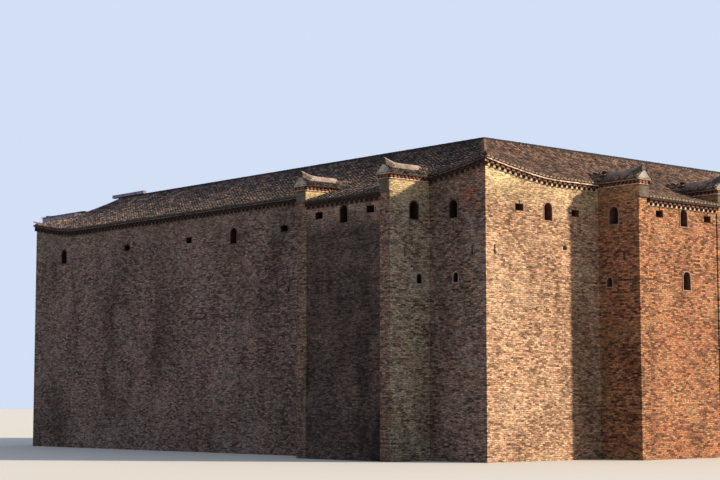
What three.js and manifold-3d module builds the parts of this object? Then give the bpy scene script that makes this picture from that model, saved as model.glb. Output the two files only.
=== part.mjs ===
// Walled house of fired brick: a four-storey ring of rooms round a courtyard, one projecting
// gun tower on every side, hipped tile roofs with upturned corners. Scale model at 1:2.
// +Z is up, +Y runs along the long sides, the origin is on the ground at the plan's centre.

import * as THREE from 'three';
import { mergeVertices } from 'three/addons/utils/BufferGeometryUtils.js';
import Module from 'manifold-3d';

const wasm = await Module();
wasm.setup();

// Driving sizes, in metres of the real house and turned into model millimetres
const SCALE = 0.5;
const mm = (metres) => metres * 1000 * SCALE;
const GAP = 0.3;

const LONG_SIDE = mm(41.5);
const SHORT_SIDE = mm(31.8);
const WING_DEPTH = mm(7.94);
const RIDGE_INSET = WING_DEPTH / 2;
const OUTER_WALL = mm(1.2);
const COURT_WALL = mm(0.5);

const FLOORS = [
  { name: 'second_storey_floor', top: mm(4.2) },
  { name: 'third_storey_floor', top: mm(7.5) },
  { name: 'top_storey_floor', top: mm(10.8) },
];
const FLOOR_THICKNESS = mm(0.22);
const CUT_MARGIN = mm(0.1);
const ARC_SEGMENTS = 6;

const EAVE_OVERHANG = mm(0.17);
const EAVE_HEIGHT = mm(13.84);
const RIDGE_HEIGHT = mm(16.18);
const ROOF_THICKNESS = mm(0.1);
const ROOF_HOLLOW = 0.2;
const SLOPE_BENDS = [mm(1.3), mm(2.6)];
const CORNER_RISE = mm(0.66);
const CORNER_REACH = mm(4.6);
const CORNER_CURVE = 1.3;
const LIFTED_LENGTH = mm(4.9);
const LIFT_STEPS = 6;

const RIDGE_BAR_WIDTH = mm(0.34);
const RIDGE_BAR_RISE = mm(0.14);
const RIDGE_END_OUT = mm(0.87);
const RIDGE_END_INWARD = mm(2.8);
const RIDGE_END_WIDTH = mm(0.24);
const RIDGE_END_RISE = mm(0.2);
const HIP_BAR_WIDTH = mm(0.5);
const HIP_BAR_RISE = mm(0.16);
const HIP_BAR_SAG = mm(0.03);
const HORN_RISE = mm(0.2);
const HORN_LENGTH = mm(0.34);
const BAR_TAPER = 0.5;
const BAR_LEG_SHARE = 0.5;

const CORNICE_STEPS = [{ out: mm(0.05), height: mm(0.22) }, { out: mm(0.1), height: mm(0.12) }];
const CORNICE_CLEARANCE = mm(0.02);

const TOWER_WIDTH = mm(7.08);
const TOWER_REACH = mm(2.64);
const GABLE_WALL = mm(0.72);
const TOWER_FRONT_WALL = mm(0.9);
const TOWER_FRONT_RECESS = mm(0.06);
const TOWER_EAVE_REACH = mm(2.78);
const TOWER_EAVE_HEIGHT = mm(13.01);

const CAP_BASE = mm(13.9);
const CAP_HALF_WIDTH = mm(0.58);
const CAP_EDGE = mm(0.05);
const CAP_RISE = mm(0.35);
const CAP_RIDGE_HALF_WIDTH = mm(0.14);
const CAP_RIDGE_RISE = mm(0.24);
const CAP_REACH = TOWER_REACH + mm(0.06);
const CAP_INWARD = mm(2.75);
const CAP_STEPS = 8;
const TIP_RISE = mm(0.16);
const TIP_START = mm(1.9);
const PIER_HEAD_HEIGHT = mm(0.64);
const PIER_HEAD_DROP = mm(0.25);
const PIER_HEAD_OUT = mm(0.05);
const CORBEL_OUT = mm(0.05);
const CORBEL_HEIGHT = mm(0.24);

// Openings: width, height and lowest edge above the ground
const ARCHED_WINDOW = { kind: 'arched', width: mm(0.58), height: mm(0.9), sill: mm(11.74) };
const THIRD_FLOOR_WINDOW = { kind: 'arched', width: mm(0.6), height: mm(0.95), sill: mm(8.5) };
const SMALL_ARCH = { kind: 'arched', width: mm(0.34), height: mm(0.5), sill: mm(8.6) };
const GUN_HOLE = { kind: 'gun', width: mm(0.58), height: mm(0.36), sill: mm(12.08) };
const LOW_GUN_HOLE = { kind: 'gun', width: mm(0.3), height: mm(0.2), sill: mm(10.36) };
const SLIT = { kind: 'plain', width: mm(0.12), height: mm(0.44), sill: mm(9.9) };
const SMALL_HOLE = { kind: 'plain', width: mm(0.16), height: mm(0.2), sill: mm(8.8) };
const GATEWAY = { kind: 'arched', width: mm(1.7), height: mm(2.9), sill: -CUT_MARGIN };
const COURT_DOOR = { kind: 'plain', width: mm(1.2), height: mm(2.3), sill: -CUT_MARGIN };
const COURT_WINDOW = { kind: 'plain', width: mm(1), height: mm(1.2) };
const COURT_SILL = mm(1);
const COURT_BAY = mm(5.2);
const GUN_SLOT_WIDTH = mm(0.08);
const GUN_SLOT_HEIGHT = mm(0.16);

// Places of openings are metres from a side's first corner, walking clockwise seen from above
const place = (opening, ...metres) => metres.map((along) => ({ ...opening, along: mm(along) }));

// What every tower repeats: its own front, and the faces of its two gable walls
const TOWER_FRONT_OPENINGS = [
  ...place(GUN_HOLE, 1.49, 5.4),
  ...place(ARCHED_WINDOW, 3.46),
];
const GABLE_OPENINGS = [
  ...place(ARCHED_WINDOW, 1.03),
  ...place(SMALL_ARCH, 0.7),
  ...place(SLIT, 1.64),
];

const SIDES = [
  {
    name: 'west',
    hipName: 'north_west_hip',
    raisedRidgeEnd: 1,
    turn: Math.PI / 2,
    length: LONG_SIDE,
    reach: SHORT_SIDE / 2,
    towerStart: mm(3.88),
    capLift: 0,
    capScale: 1,
    frontOpenings: TOWER_FRONT_OPENINGS,
    openings: [
      ...place(ARCHED_WINDOW, 2.19, 19.86, 38),
      ...place(GUN_HOLE, 15.3, 24.2, 30.7),
      ...place(SMALL_ARCH, 2.04),
      ...place(SLIT, 0.93, 16.9),
      ...place(SMALL_HOLE, 14.9, 28),
    ],
  },
  {
    name: 'north',
    hipName: 'north_east_hip',
    raisedRidgeEnd: 0,
    turn: 0,
    length: SHORT_SIDE,
    reach: LONG_SIDE / 2,
    towerStart: mm(2.04),
    capLift: mm(1.45),
    capScale: 0.25,
    frontOpenings: TOWER_FRONT_OPENINGS,
    openings: [
      ...place(ARCHED_WINDOW, 13.2, 20.5, 27.8),
      ...place(GUN_HOLE, 10.8, 16.9, 24.2),
      ...place(SMALL_ARCH, 16.9),
      ...place(SLIT, 12, 22.4),
    ],
  },
  {
    name: 'east',
    hipName: 'south_east_hip',
    raisedRidgeEnd: -1,
    turn: -Math.PI / 2,
    length: LONG_SIDE,
    reach: SHORT_SIDE / 2,
    towerStart: mm(3.88),
    capLift: 0,
    capScale: 1,
    frontOpenings: TOWER_FRONT_OPENINGS,
    openings: [
      ...place(ARCHED_WINDOW, 2.19, 19.86, 38),
      ...place(GUN_HOLE, 15.3, 24.2, 30.7),
      ...place(SMALL_ARCH, 2.04),
      ...place(SLIT, 0.93, 16.9),
      ...place(GATEWAY, 20.75),
    ],
  },
  {
    name: 'south',
    hipName: 'south_west_hip',
    raisedRidgeEnd: 0,
    turn: Math.PI,
    length: SHORT_SIDE,
    reach: LONG_SIDE / 2,
    towerStart: mm(16.58),
    capLift: 0,
    capScale: 1,
    frontOpenings: [...TOWER_FRONT_OPENINGS, ...place(THIRD_FLOOR_WINDOW, 3.3)],
    openings: [
      ...place(ARCHED_WINDOW, 4.4, 11.9, 27.43),
      ...place(GUN_HOLE, 8.2, 14.6, 25.4, 29.47),
      ...place(LOW_GUN_HOLE, 26.2),
      ...place(SLIT, 7.6, 31.2),
    ],
  },
];

const MATERIALS = {
  brick: { color: 0x8c7867, roughness: 0.92, metalness: 0 },
  courtBrick: { color: 0x9a8672, roughness: 0.92, metalness: 0 },
  tile: { color: 0x4a4440, roughness: 0.85, metalness: 0 },
  plaster: { color: 0x8f867c, roughness: 0.9, metalness: 0 },
  boards: { color: 0x6b4b32, roughness: 0.8, metalness: 0 },
};

// Solids: joining and cutting closed geometries
function toSolid(geometry) {
  geometry.deleteAttribute('normal');
  geometry.deleteAttribute('uv');
  const merged = mergeVertices(geometry);
  const vertProperties = new Float32Array(merged.attributes.position.array);
  const triVerts = new Uint32Array(merged.index.array);
  return new wasm.Manifold(new wasm.Mesh({ numProp: 3, vertProperties, triVerts }));
}

function toGeometry(solid) {
  const mesh = solid.getMesh();
  const geometry = new THREE.BufferGeometry();
  geometry.setAttribute('position', new THREE.BufferAttribute(mesh.vertProperties, 3));
  geometry.setIndex(new THREE.BufferAttribute(mesh.triVerts, 1));
  const faceted = geometry.toNonIndexed();
  faceted.computeVertexNormals();
  return faceted;
}

function makeMesh(name, geometry, materialName) {
  const mesh = new THREE.Mesh(geometry, new THREE.MeshStandardMaterial(MATERIALS[materialName]));
  mesh.name = name;
  return mesh;
}

// A block between two corners of a side's frame: x along, y outwards, z up
function block([x0, y0, z0], [x1, y1, z1]) {
  const geometry = new THREE.BoxGeometry(x1 - x0, y1 - y0, z1 - z0);
  geometry.translate((x0 + x1) / 2, (y0 + y1) / 2, (z0 + z1) / 2);
  return geometry;
}

// An upright shape drawn as along and height, given thickness inwards from the face `out`
function uprightPlate(shape, out, thickness, steps = 1) {
  const geometry = new THREE.ExtrudeGeometry(shape, {
    depth: thickness, steps, bevelEnabled: false, curveSegments: ARC_SEGMENTS,
  });
  geometry.rotateX(Math.PI / 2);
  geometry.translate(0, out, 0);
  return geometry;
}

// A section drawn as outwards and height, drawn out along the side from start to end
function alongSide(shape, start, end) {
  const geometry = new THREE.ExtrudeGeometry(shape, {
    depth: end - start, steps: 1, bevelEnabled: false, curveSegments: ARC_SEGMENTS,
  });
  geometry.applyMatrix4(new THREE.Matrix4().set(
    0, 0, 1, start,
    1, 0, 0, 0,
    0, 1, 0, 0,
    0, 0, 0, 1,
  ));
  return geometry;
}

// Ends that stand at a corner of the house are cut at 45 degrees
function cutAtCorners(solid, half) {
  const far = 2 * WING_DEPTH;
  const beyondCorner = (direction) => {
    const corner = direction * (half - GAP / 2);
    const outline = new THREE.Shape([
      new THREE.Vector2(corner - direction * far, -far),
      new THREE.Vector2(corner + direction * far, -far),
      new THREE.Vector2(corner + direction * far, far),
    ]);
    const wedge = new THREE.ExtrudeGeometry(outline, { depth: 2 * RIDGE_HEIGHT, bevelEnabled: false });
    return toSolid(wedge.translate(0, 0, -RIDGE_HEIGHT / 2));
  };
  return solid.subtract(beyondCorner(1)).subtract(beyondCorner(-1));
}

const mitreEnds = (geometry, half) => cutAtCorners(toSolid(geometry), half);

// The roof: height of its upper face at an inset from the wall face and a distance from the corner
function roofHeight(inset, fromCorner) {
  const mirrored = Math.min(inset, 2 * RIDGE_INSET - inset);
  const upSlope = (mirrored + EAVE_OVERHANG) / (RIDGE_INSET + EAVE_OVERHANG);
  const profile = (1 - ROOF_HOLLOW) * upSlope + ROOF_HOLLOW * upSlope ** 2;
  const nearCorner = Math.max(0, 1 - fromCorner / CORNER_REACH);
  const rise = inset < RIDGE_INSET ? CORNER_RISE * nearCorner ** CORNER_CURVE * (1 - upSlope) : 0;
  return EAVE_HEIGHT + (RIDGE_HEIGHT - EAVE_HEIGHT) * profile + rise;
}

// One roof slope of a wing, mitred at both ends; liftSteps stations follow the rising eave
function slopeGeometry(half, insets, liftSteps, liftUp, thickness) {
  const columns = 2 * liftSteps + 1;
  const rows = insets.length - 1;
  const geometry = new THREE.BoxGeometry(1, 1, 1, columns, rows, 1);
  const points = geometry.attributes.position;
  for (let i = 0; i < points.count; i += 1) {
    const column = Math.round((points.getX(i) + 0.5) * columns);
    const inset = insets[Math.round((0.5 - points.getY(i)) * rows)];
    const step = Math.min(column, columns - column);
    const fromCorner = liftSteps ? inset + (LIFTED_LENGTH - inset) * step / liftSteps : inset;
    const top = roofHeight(inset, fromCorner) + liftUp;
    const along = half - fromCorner - GAP / 2;
    const height = points.getZ(i) > 0 ? top : top - thickness;
    points.setXYZ(i, column < columns / 2 ? -along : along, -inset, height);
  }
  return geometry;
}

// Rows of a slope from its eave to the ridge, and of the court slope as its mirror image
const OUTER_INSETS = [-EAVE_OVERHANG, 0, ...SLOPE_BENDS, RIDGE_INSET - GAP / 2];
const COURT_INSETS = OUTER_INSETS.toReversed().map((inset) => WING_DEPTH - inset);

const towerSpan = (side) => {
  const start = side.towerStart - side.length / 2;
  return { start, end: start + TOWER_WIDTH };
};

function outerSlope(side) {
  const { start, end } = towerSpan(side);
  const notch = toSolid(block([start - GAP, -GAP, 0], [end + GAP, TOWER_REACH, RIDGE_HEIGHT]));
  const slope = slopeGeometry(side.length / 2, OUTER_INSETS, LIFT_STEPS, 0, ROOF_THICKNESS);
  return toGeometry(toSolid(slope).subtract(notch));
}

function courtSlope(side) {
  return slopeGeometry(side.length / 2, COURT_INSETS, 0, 0, ROOF_THICKNESS);
}

// Everything under the upper face of the wing's outer slope, for cutting what stands on it
function underOuterSlope(side) {
  const { start, end } = towerSpan(side);
  const notch = toSolid(block([start, -GAP, -RIDGE_HEIGHT], [end, TOWER_REACH, RIDGE_HEIGHT]));
  const slope = slopeGeometry(side.length / 2, OUTER_INSETS, LIFT_STEPS, GAP, RIDGE_HEIGHT);
  return toSolid(slope).subtract(notch);
}

// The outline of an opening, drawn as along and height
function openingShape({ kind, width, height, sill }, centre) {
  const path = new THREE.Shape();
  const left = centre - width / 2;
  const right = centre + width / 2;
  const top = sill + height;
  path.moveTo(left, sill);
  path.lineTo(right, sill);
  if (kind === 'arched') {
    path.lineTo(right, top - width / 2);
    path.absarc(centre, top - width / 2, width / 2, 0, Math.PI, false);
  } else if (kind === 'gun') {
    path.lineTo(right, top);
    path.lineTo(centre + GUN_SLOT_WIDTH / 2, top);
    path.lineTo(centre + GUN_SLOT_WIDTH / 2, top + GUN_SLOT_HEIGHT);
    path.lineTo(centre - GUN_SLOT_WIDTH / 2, top + GUN_SLOT_HEIGHT);
    path.lineTo(centre - GUN_SLOT_WIDTH / 2, top);
    path.lineTo(left, top);
  } else {
    path.lineTo(right, top);
    path.lineTo(left, top);
  }
  path.lineTo(left, sill);
  return path;
}

// Openings are cut right through a wall that faces outwards
function cutOpenings(wall, openings, face, thickness) {
  return openings.reduce((rest, opening) => {
    const outline = openingShape(opening, opening.along);
    const cutter = uprightPlate(outline, face + CUT_MARGIN, thickness + 2 * CUT_MARGIN);
    return rest.subtract(toSolid(cutter));
  }, wall);
}

// Places along a side where the eave line bends, between start and end
function eaveStations(half, start, end) {
  const bends = [];
  for (let i = 0; i <= LIFT_STEPS; i += 1) {
    const fromCorner = LIFTED_LENGTH * i / LIFT_STEPS;
    bends.push(fromCorner - half, half - fromCorner);
  }
  const inside = bends.filter((s) => s > start + GAP && s < end - GAP);
  return [start, ...inside.sort((a, b) => a - b), end];
}

// A band under the eave line, `drop` below the roof's lower face, down by `height` or to the ground
function eaveBand(half, start, end, inset, drop, height = Infinity) {
  const stations = eaveStations(half, start, end);
  const upper = (s) => roofHeight(inset, half - Math.abs(s)) - ROOF_THICKNESS - drop;
  const feet = height === Infinity ? [start, end] : stations;
  const foot = (s) => Math.max(0, upper(s) - height);
  return new THREE.Shape([
    ...feet.map((s) => new THREE.Vector2(s, foot(s))),
    ...stations.toReversed().map((s) => new THREE.Vector2(s, upper(s))),
  ]);
}

// A stretch of outer wall with its openings and its corbelled brick cornice
function outerWall(side, start, end) {
  const half = side.length / 2;
  const plate = uprightPlate(eaveBand(half, start, end, 0, GAP), 0, OUTER_WALL);
  const openings = side.openings
    .map((opening) => ({ ...opening, along: opening.along - half }))
    .filter(({ along }) => along > start && along < end);
  let wall = cutOpenings(mitreEnds(plate, half), openings, 0, OUTER_WALL);
  CORNICE_STEPS.forEach(({ out, height }) => {
    const reach = (s) => (Math.abs(s) < half ? s : Math.sign(s) * (half + out));
    const band = eaveBand(half, reach(start), reach(end), -out, CORNICE_CLEARANCE, height);
    wall = wall.add(mitreEnds(uprightPlate(band, out, out + COURT_WALL), half));
  });
  return toGeometry(wall);
}

// The tower's front wall, standing between its gable walls
function towerFront(side) {
  const { start, end } = towerSpan(side);
  const face = TOWER_REACH - TOWER_FRONT_RECESS;
  const left = start + GABLE_WALL + GAP;
  const right = end - GABLE_WALL - GAP;
  const underEave = (out) => towerRoofHeight(side, out) - ROOF_THICKNESS - CORNICE_CLEARANCE;
  const shape = new THREE.Shape();
  shape.moveTo(left, 0);
  shape.lineTo(right, 0);
  shape.lineTo(right, underEave(face));
  shape.lineTo(left, underEave(face));
  const openings = side.frontOpenings
    .map((opening) => ({ ...opening, along: start + opening.along }));
  let wall = toSolid(uprightPlate(shape, face, TOWER_FRONT_WALL));
  wall = cutOpenings(wall, openings, face, TOWER_FRONT_WALL);
  CORNICE_STEPS.forEach(({ out, height }) => {
    const top = underEave(face + out);
    const course = block([left, face - COURT_WALL, top - height], [right, face + out, top]);
    wall = wall.add(toSolid(course));
  });
  return toGeometry(wall);
}

// The tower roof runs on from the wing's slope to its own lower eave
function towerRoofHeight(side, out) {
  const highest = roofHeight(0, side.length / 2);
  return THREE.MathUtils.lerp(highest, TOWER_EAVE_HEIGHT, out / TOWER_EAVE_REACH);
}

function towerRoofSection(side, liftUp, thickness) {
  const shape = new THREE.Shape();
  const inner = towerRoofHeight(side, GAP) + liftUp;
  const outer = TOWER_EAVE_HEIGHT + liftUp;
  shape.moveTo(GAP, inner - thickness);
  shape.lineTo(TOWER_EAVE_REACH, outer - thickness);
  shape.lineTo(TOWER_EAVE_REACH, outer);
  shape.lineTo(GAP, inner);
  return shape;
}

function towerRoof(side) {
  const { start, end } = towerSpan(side);
  const section = towerRoofSection(side, 0, ROOF_THICKNESS);
  return alongSide(section, start + GABLE_WALL + GAP, end - GABLE_WALL - GAP);
}

// The small tiled cap of a gable wall with its half-round plaster ridge, upturned at the tip.
// The north tower's higher walls have a flatter cap.
function gableCap(side, centre) {
  const base = CAP_BASE + side.capLift;
  const shoulder = base + CAP_EDGE + CAP_RISE;
  const shape = new THREE.Shape();
  shape.moveTo(centre - CAP_HALF_WIDTH, base);
  shape.lineTo(centre + CAP_HALF_WIDTH, base);
  shape.lineTo(centre + CAP_HALF_WIDTH, base + CAP_EDGE);
  shape.lineTo(centre + CAP_RIDGE_HALF_WIDTH, shoulder - CAP_RIDGE_RISE / 2);
  shape.lineTo(centre + CAP_RIDGE_HALF_WIDTH, shoulder);
  shape.absarc(centre, shoulder, CAP_RIDGE_HALF_WIDTH, 0, Math.PI, false);
  shape.lineTo(centre - CAP_RIDGE_HALF_WIDTH, shoulder - CAP_RIDGE_RISE / 2);
  shape.lineTo(centre - CAP_HALF_WIDTH, base + CAP_EDGE);
  const geometry = uprightPlate(shape, CAP_REACH, CAP_REACH + CAP_INWARD, CAP_STEPS);
  const points = geometry.attributes.position;
  for (let i = 0; i < points.count; i += 1) {
    const out = points.getY(i);
    const nearTip = Math.max(0, (out - TIP_START) / (CAP_REACH - TIP_START));
    const share = Math.max(0, (points.getZ(i) - base - CAP_EDGE) / (shoulder - base - CAP_EDGE));
    const height = points.getZ(i) - base + TIP_RISE * share * nearTip ** 2;
    points.setZ(i, base + height * side.capScale);
  }
  return geometry;
}

// One gable wall of a tower: it runs through the house wall and rises above the roofs
function gableWall(side, isSecond) {
  const { start, end } = towerSpan(side);
  const left = isSecond ? end - GABLE_WALL : start;
  const right = left + GABLE_WALL;
  const half = side.length / 2;
  const capBase = CAP_BASE + side.capLift;
  const fromCorner = half - Math.min(Math.abs(left), Math.abs(right));
  const underRoof = roofHeight(0, fromCorner) - ROOF_THICKNESS - GAP;

  const body = new THREE.Shape();
  body.moveTo(-OUTER_WALL, 0);
  body.lineTo(TOWER_REACH, 0);
  body.lineTo(TOWER_REACH, capBase);
  body.lineTo(0, capBase);
  body.lineTo(0, underRoof);
  body.lineTo(-OUTER_WALL, underRoof);
  const lower = GABLE_OPENINGS.reduce((wall, opening) => {
    const outline = openingShape(opening, opening.along);
    return wall.subtract(toSolid(alongSide(outline, left - CUT_MARGIN, right + CUT_MARGIN)));
  }, toSolid(alongSide(body, left, right)));

  const pierTop = CAP_BASE - PIER_HEAD_DROP;
  const underCap = block([left, -CAP_INWARD, CAP_BASE], [right, TOWER_REACH, capBase + GAP]);
  const corbel = block(
    [left - CORBEL_OUT, -CAP_INWARD, capBase - CORBEL_HEIGHT],
    [right + CORBEL_OUT, TOWER_REACH + CORBEL_OUT, capBase],
  );
  const pierHead = block(
    [left, TOWER_REACH - PIER_HEAD_OUT, pierTop - PIER_HEAD_HEIGHT],
    [right, TOWER_REACH + PIER_HEAD_OUT, pierTop],
  );
  const cap = gableCap(side, (left + right) / 2);
  const joined = [underCap, corbel, pierHead, cap].map(toSolid).reduce((all, piece) => all.add(piece));
  const underTowerRoof = alongSide(
    towerRoofSection(side, GAP, RIDGE_HEIGHT),
    start + GABLE_WALL, end - GABLE_WALL,
  );
  const upper = cutAtCorners(joined, half - HIP_BAR_WIDTH)
    .subtract(underOuterSlope(side))
    .subtract(toSolid(underTowerRoof));
  return toGeometry(lower.add(upper));
}

// A courtyard wall: a doorway in every bay at the ground and a window above it on each storey
function courtWall(side) {
  const half = side.length / 2;
  const face = COURT_WALL - WING_DEPTH;
  const clear = side.length - 2 * WING_DEPTH;
  const bays = Math.round(clear / COURT_BAY);
  const openings = [];
  for (let bay = 0; bay < bays; bay += 1) {
    const along = clear * ((bay + 0.5) / bays - 0.5);
    openings.push({ ...COURT_DOOR, along });
    FLOORS.forEach(({ top }) => openings.push({ ...COURT_WINDOW, sill: top + COURT_SILL, along }));
  }
  const wallTop = roofHeight(WING_DEPTH, half) - ROOF_THICKNESS - GAP;
  const plate = block([-half, face - COURT_WALL, 0], [half, face, wallTop]);
  return toGeometry(cutOpenings(mitreEnds(plate, half), openings, face, COURT_WALL));
}

// Ridge and hip bars of brick and plaster over the meeting lines of the slopes
function ridgeBar(side) {
  const half = side.length / 2;
  const halfWidth = RIDGE_BAR_WIDTH / 2;
  const foot = RIDGE_HEIGHT + GAP;
  const topRow = OUTER_INSETS.at(-2);
  const slope = (RIDGE_HEIGHT - roofHeight(topRow, half)) / (RIDGE_INSET - topRow);
  const legs = slope * halfWidth * BAR_LEG_SHARE;
  const section = new THREE.Shape([
    new THREE.Vector2(-RIDGE_INSET - halfWidth, foot + GAP - legs),
    new THREE.Vector2(-RIDGE_INSET, foot + GAP),
    new THREE.Vector2(-RIDGE_INSET + halfWidth, foot + GAP - legs),
    new THREE.Vector2(-RIDGE_INSET + halfWidth * BAR_TAPER, foot + RIDGE_BAR_RISE),
    new THREE.Vector2(-RIDGE_INSET - halfWidth * BAR_TAPER, foot + RIDGE_BAR_RISE),
  ]);
  const bar = mitreEnds(alongSide(section, -half, half), half);
  return toGeometry(side.raisedRidgeEnd ? bar.add(raisedRidgeEnd(side, foot)) : bar);
}

// The long ridges run on past their northern hips as a short raised bar
function raisedRidgeEnd(side, foot) {
  const apex = side.length / 2 - RIDGE_INSET;
  const halfWidth = RIDGE_END_WIDTH / 2;
  const bottom = foot + RIDGE_BAR_RISE + GAP;
  const raised = block(
    [apex - RIDGE_END_INWARD, -RIDGE_INSET - halfWidth, bottom],
    [apex + RIDGE_END_OUT, -RIDGE_INSET + halfWidth, bottom + RIDGE_END_RISE],
  );
  const key = block(
    [apex - RIDGE_END_INWARD, -RIDGE_INSET - halfWidth * BAR_TAPER, foot + RIDGE_BAR_RISE / 2],
    [apex - RIDGE_BAR_WIDTH, -RIDGE_INSET + halfWidth * BAR_TAPER, bottom + GAP],
  );
  const end = toSolid(raised).add(toSolid(key));
  return side.raisedRidgeEnd > 0 ? end : end.mirror([1, 0, 0]);
}

function hipBar(side) {
  const half = side.length / 2;
  const insets = [...OUTER_INSETS.slice(0, -1), RIDGE_INSET - RIDGE_BAR_WIDTH];
  const rows = insets.length - 1;
  const topRow = insets.at(-2);
  const climb = (RIDGE_HEIGHT - roofHeight(topRow, topRow)) / (RIDGE_INSET - topRow);
  const crestAt = (inset) => (inset > topRow
    ? RIDGE_HEIGHT - climb * (RIDGE_INSET - inset)
    : roofHeight(inset, inset));
  const geometry = new THREE.BoxGeometry(1, 1, 1, 2, rows, 1);
  const points = geometry.attributes.position;
  for (let i = 0; i < points.count; i += 1) {
    const inset = insets[Math.round((points.getY(i) + 0.5) * rows)];
    const isTop = points.getZ(i) > 0;
    const across = points.getX(i) * HIP_BAR_WIDTH * (isTop ? BAR_TAPER : 1);
    const diagonal = across * Math.SQRT1_2;
    const foot = GAP - Math.abs(points.getX(i)) * 2 * HIP_BAR_SAG;
    const horn = HORN_RISE * Math.max(0, 1 - (inset + EAVE_OVERHANG) / HORN_LENGTH);
    const height = crestAt(inset) + (isTop ? HIP_BAR_RISE + horn : foot);
    points.setXYZ(i, half - inset - diagonal, -inset + diagonal, height);
  }
  return geometry;
}

// An upper floor: one ring of boards on beams, with a tab running out into every tower
function floorRing(top) {
  const outer = [];
  const inner = [];
  SIDES.toReversed().forEach((side) => {
    const half = side.length / 2;
    const { start, end } = towerSpan(side);
    const wallFace = -OUTER_WALL - GAP;
    const tabEnd = TOWER_REACH - TOWER_FRONT_RECESS - TOWER_FRONT_WALL - GAP;
    const tabLeft = start + GABLE_WALL + GAP;
    const tabRight = end - GABLE_WALL - GAP;
    const corner = half - OUTER_WALL - GAP;
    const courtFace = -WING_DEPTH + COURT_WALL + GAP;
    const toPlan = ([s, out]) => new THREE.Vector2(s, out + side.reach)
      .rotateAround(new THREE.Vector2(0, 0), side.turn);
    const walk = [
      [corner, wallFace], [tabRight, wallFace], [tabRight, tabEnd], [tabLeft, tabEnd], [tabLeft, wallFace],
    ];
    outer.push(...walk.map(toPlan));
    inner.push(toPlan([half + courtFace, courtFace]));
  });
  const shape = new THREE.Shape(outer);
  shape.holes.push(new THREE.Path(inner));
  const geometry = new THREE.ExtrudeGeometry(shape, { depth: FLOOR_THICKNESS, bevelEnabled: false });
  geometry.translate(0, 0, top - FLOOR_THICKNESS);
  return geometry;
}

// The house, put together side by side
const house = new THREE.Group();

SIDES.forEach((side) => {
  const half = side.length / 2;
  const { start, end } = towerSpan(side);
  const group = new THREE.Group();
  group.rotation.z = side.turn;
  group.position.set(-side.reach * Math.sin(side.turn), side.reach * Math.cos(side.turn), 0);
  group.add(
    makeMesh(`${side.name}_wall_first`, outerWall(side, -half, start - GAP), 'brick'),
    makeMesh(`${side.name}_wall_second`, outerWall(side, end + GAP, half), 'brick'),
    makeMesh(`${side.name}_tower_front`, towerFront(side), 'brick'),
    makeMesh(`${side.name}_tower_gable_first`, gableWall(side, false), 'brick'),
    makeMesh(`${side.name}_tower_gable_second`, gableWall(side, true), 'brick'),
    makeMesh(`${side.name}_tower_roof`, towerRoof(side), 'tile'),
    makeMesh(`${side.name}_court_wall`, courtWall(side), 'courtBrick'),
    makeMesh(`${side.name}_outer_slope`, outerSlope(side), 'tile'),
    makeMesh(`${side.name}_court_slope`, courtSlope(side), 'tile'),
    makeMesh(`${side.name}_ridge`, ridgeBar(side), 'plaster'),
    makeMesh(side.hipName, hipBar(side), 'plaster'),
  );
  house.add(group);
});

FLOORS.forEach(({ name, top }) => house.add(makeMesh(name, floorRing(top), 'boards')));

export default house;
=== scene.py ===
# Walled house of fired brick, 1:2: tiled roofs, toothed brick cornices, plastered gable ridges,
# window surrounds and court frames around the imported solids, and the finish of every surface.
import math
from collections import namedtuple

import bmesh
import bpy
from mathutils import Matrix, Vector


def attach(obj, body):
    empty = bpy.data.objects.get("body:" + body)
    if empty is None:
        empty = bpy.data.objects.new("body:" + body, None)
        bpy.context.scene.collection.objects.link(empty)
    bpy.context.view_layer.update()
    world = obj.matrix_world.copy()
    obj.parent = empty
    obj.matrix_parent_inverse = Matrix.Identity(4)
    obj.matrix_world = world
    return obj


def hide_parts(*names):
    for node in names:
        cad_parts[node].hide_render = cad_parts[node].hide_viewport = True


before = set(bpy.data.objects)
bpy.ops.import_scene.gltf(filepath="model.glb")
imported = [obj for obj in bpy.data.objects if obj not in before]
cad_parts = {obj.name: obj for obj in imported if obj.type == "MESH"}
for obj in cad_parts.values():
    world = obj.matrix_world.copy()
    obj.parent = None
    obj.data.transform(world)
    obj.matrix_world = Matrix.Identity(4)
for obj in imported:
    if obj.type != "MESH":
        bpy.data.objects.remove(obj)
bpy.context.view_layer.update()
bpy.ops.object.select_all(action="DESELECT")

# Driving sizes: metres of the real house, turned into metres of the model
SCALE = 0.5


def real(metres):
    return metres * SCALE


LONG_HALF = real(41.5) / 2
SHORT_HALF = real(31.8) / 2
WING_DEPTH = real(7.94)
RIDGE_INSET = WING_DEPTH / 2
EAVE_OUT = real(0.17)
EAVE_HEIGHT = real(13.84)
RIDGE_HEIGHT = real(16.18)
SLAB = real(0.1)
ROOF_HOLLOW = 0.2
CORNER_RISE = real(0.66)
CORNER_REACH = real(4.6)
CORNER_CURVE = 1.3
TOWER_WIDTH = real(7.08)
TOWER_REACH = real(2.64)
TOWER_RECESS = real(0.06)
TOWER_FACE = TOWER_REACH - TOWER_RECESS
TOWER_EAVE_OUT = real(2.78)
GABLE_WALL = real(0.72)
ABOVE_ALL = real(20)
JUST = real(0.001)
NEAR = real(0.01)
QUARTER = math.radians(90)

# sunlit: the side faces the sun. Its finishes are lighter copies, painted sunlight, and the other sides'
# finishes are darker copies, painted shade
Side = namedtuple("Side", "name turn half reach tower_start has_caps hip warm")
SIDES = (
    Side("west", QUARTER, LONG_HALF, SHORT_HALF, real(3.88), True, "north_west_hip", False),
    Side("north", 0, SHORT_HALF, LONG_HALF, real(2.04), False, "north_east_hip", False),
    Side("east", -QUARTER, LONG_HALF, SHORT_HALF, real(3.88), True, "south_east_hip", True),
    Side("south", 2 * QUARTER, SHORT_HALF, LONG_HALF, real(16.58), True, "south_west_hip", True),
)

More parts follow.
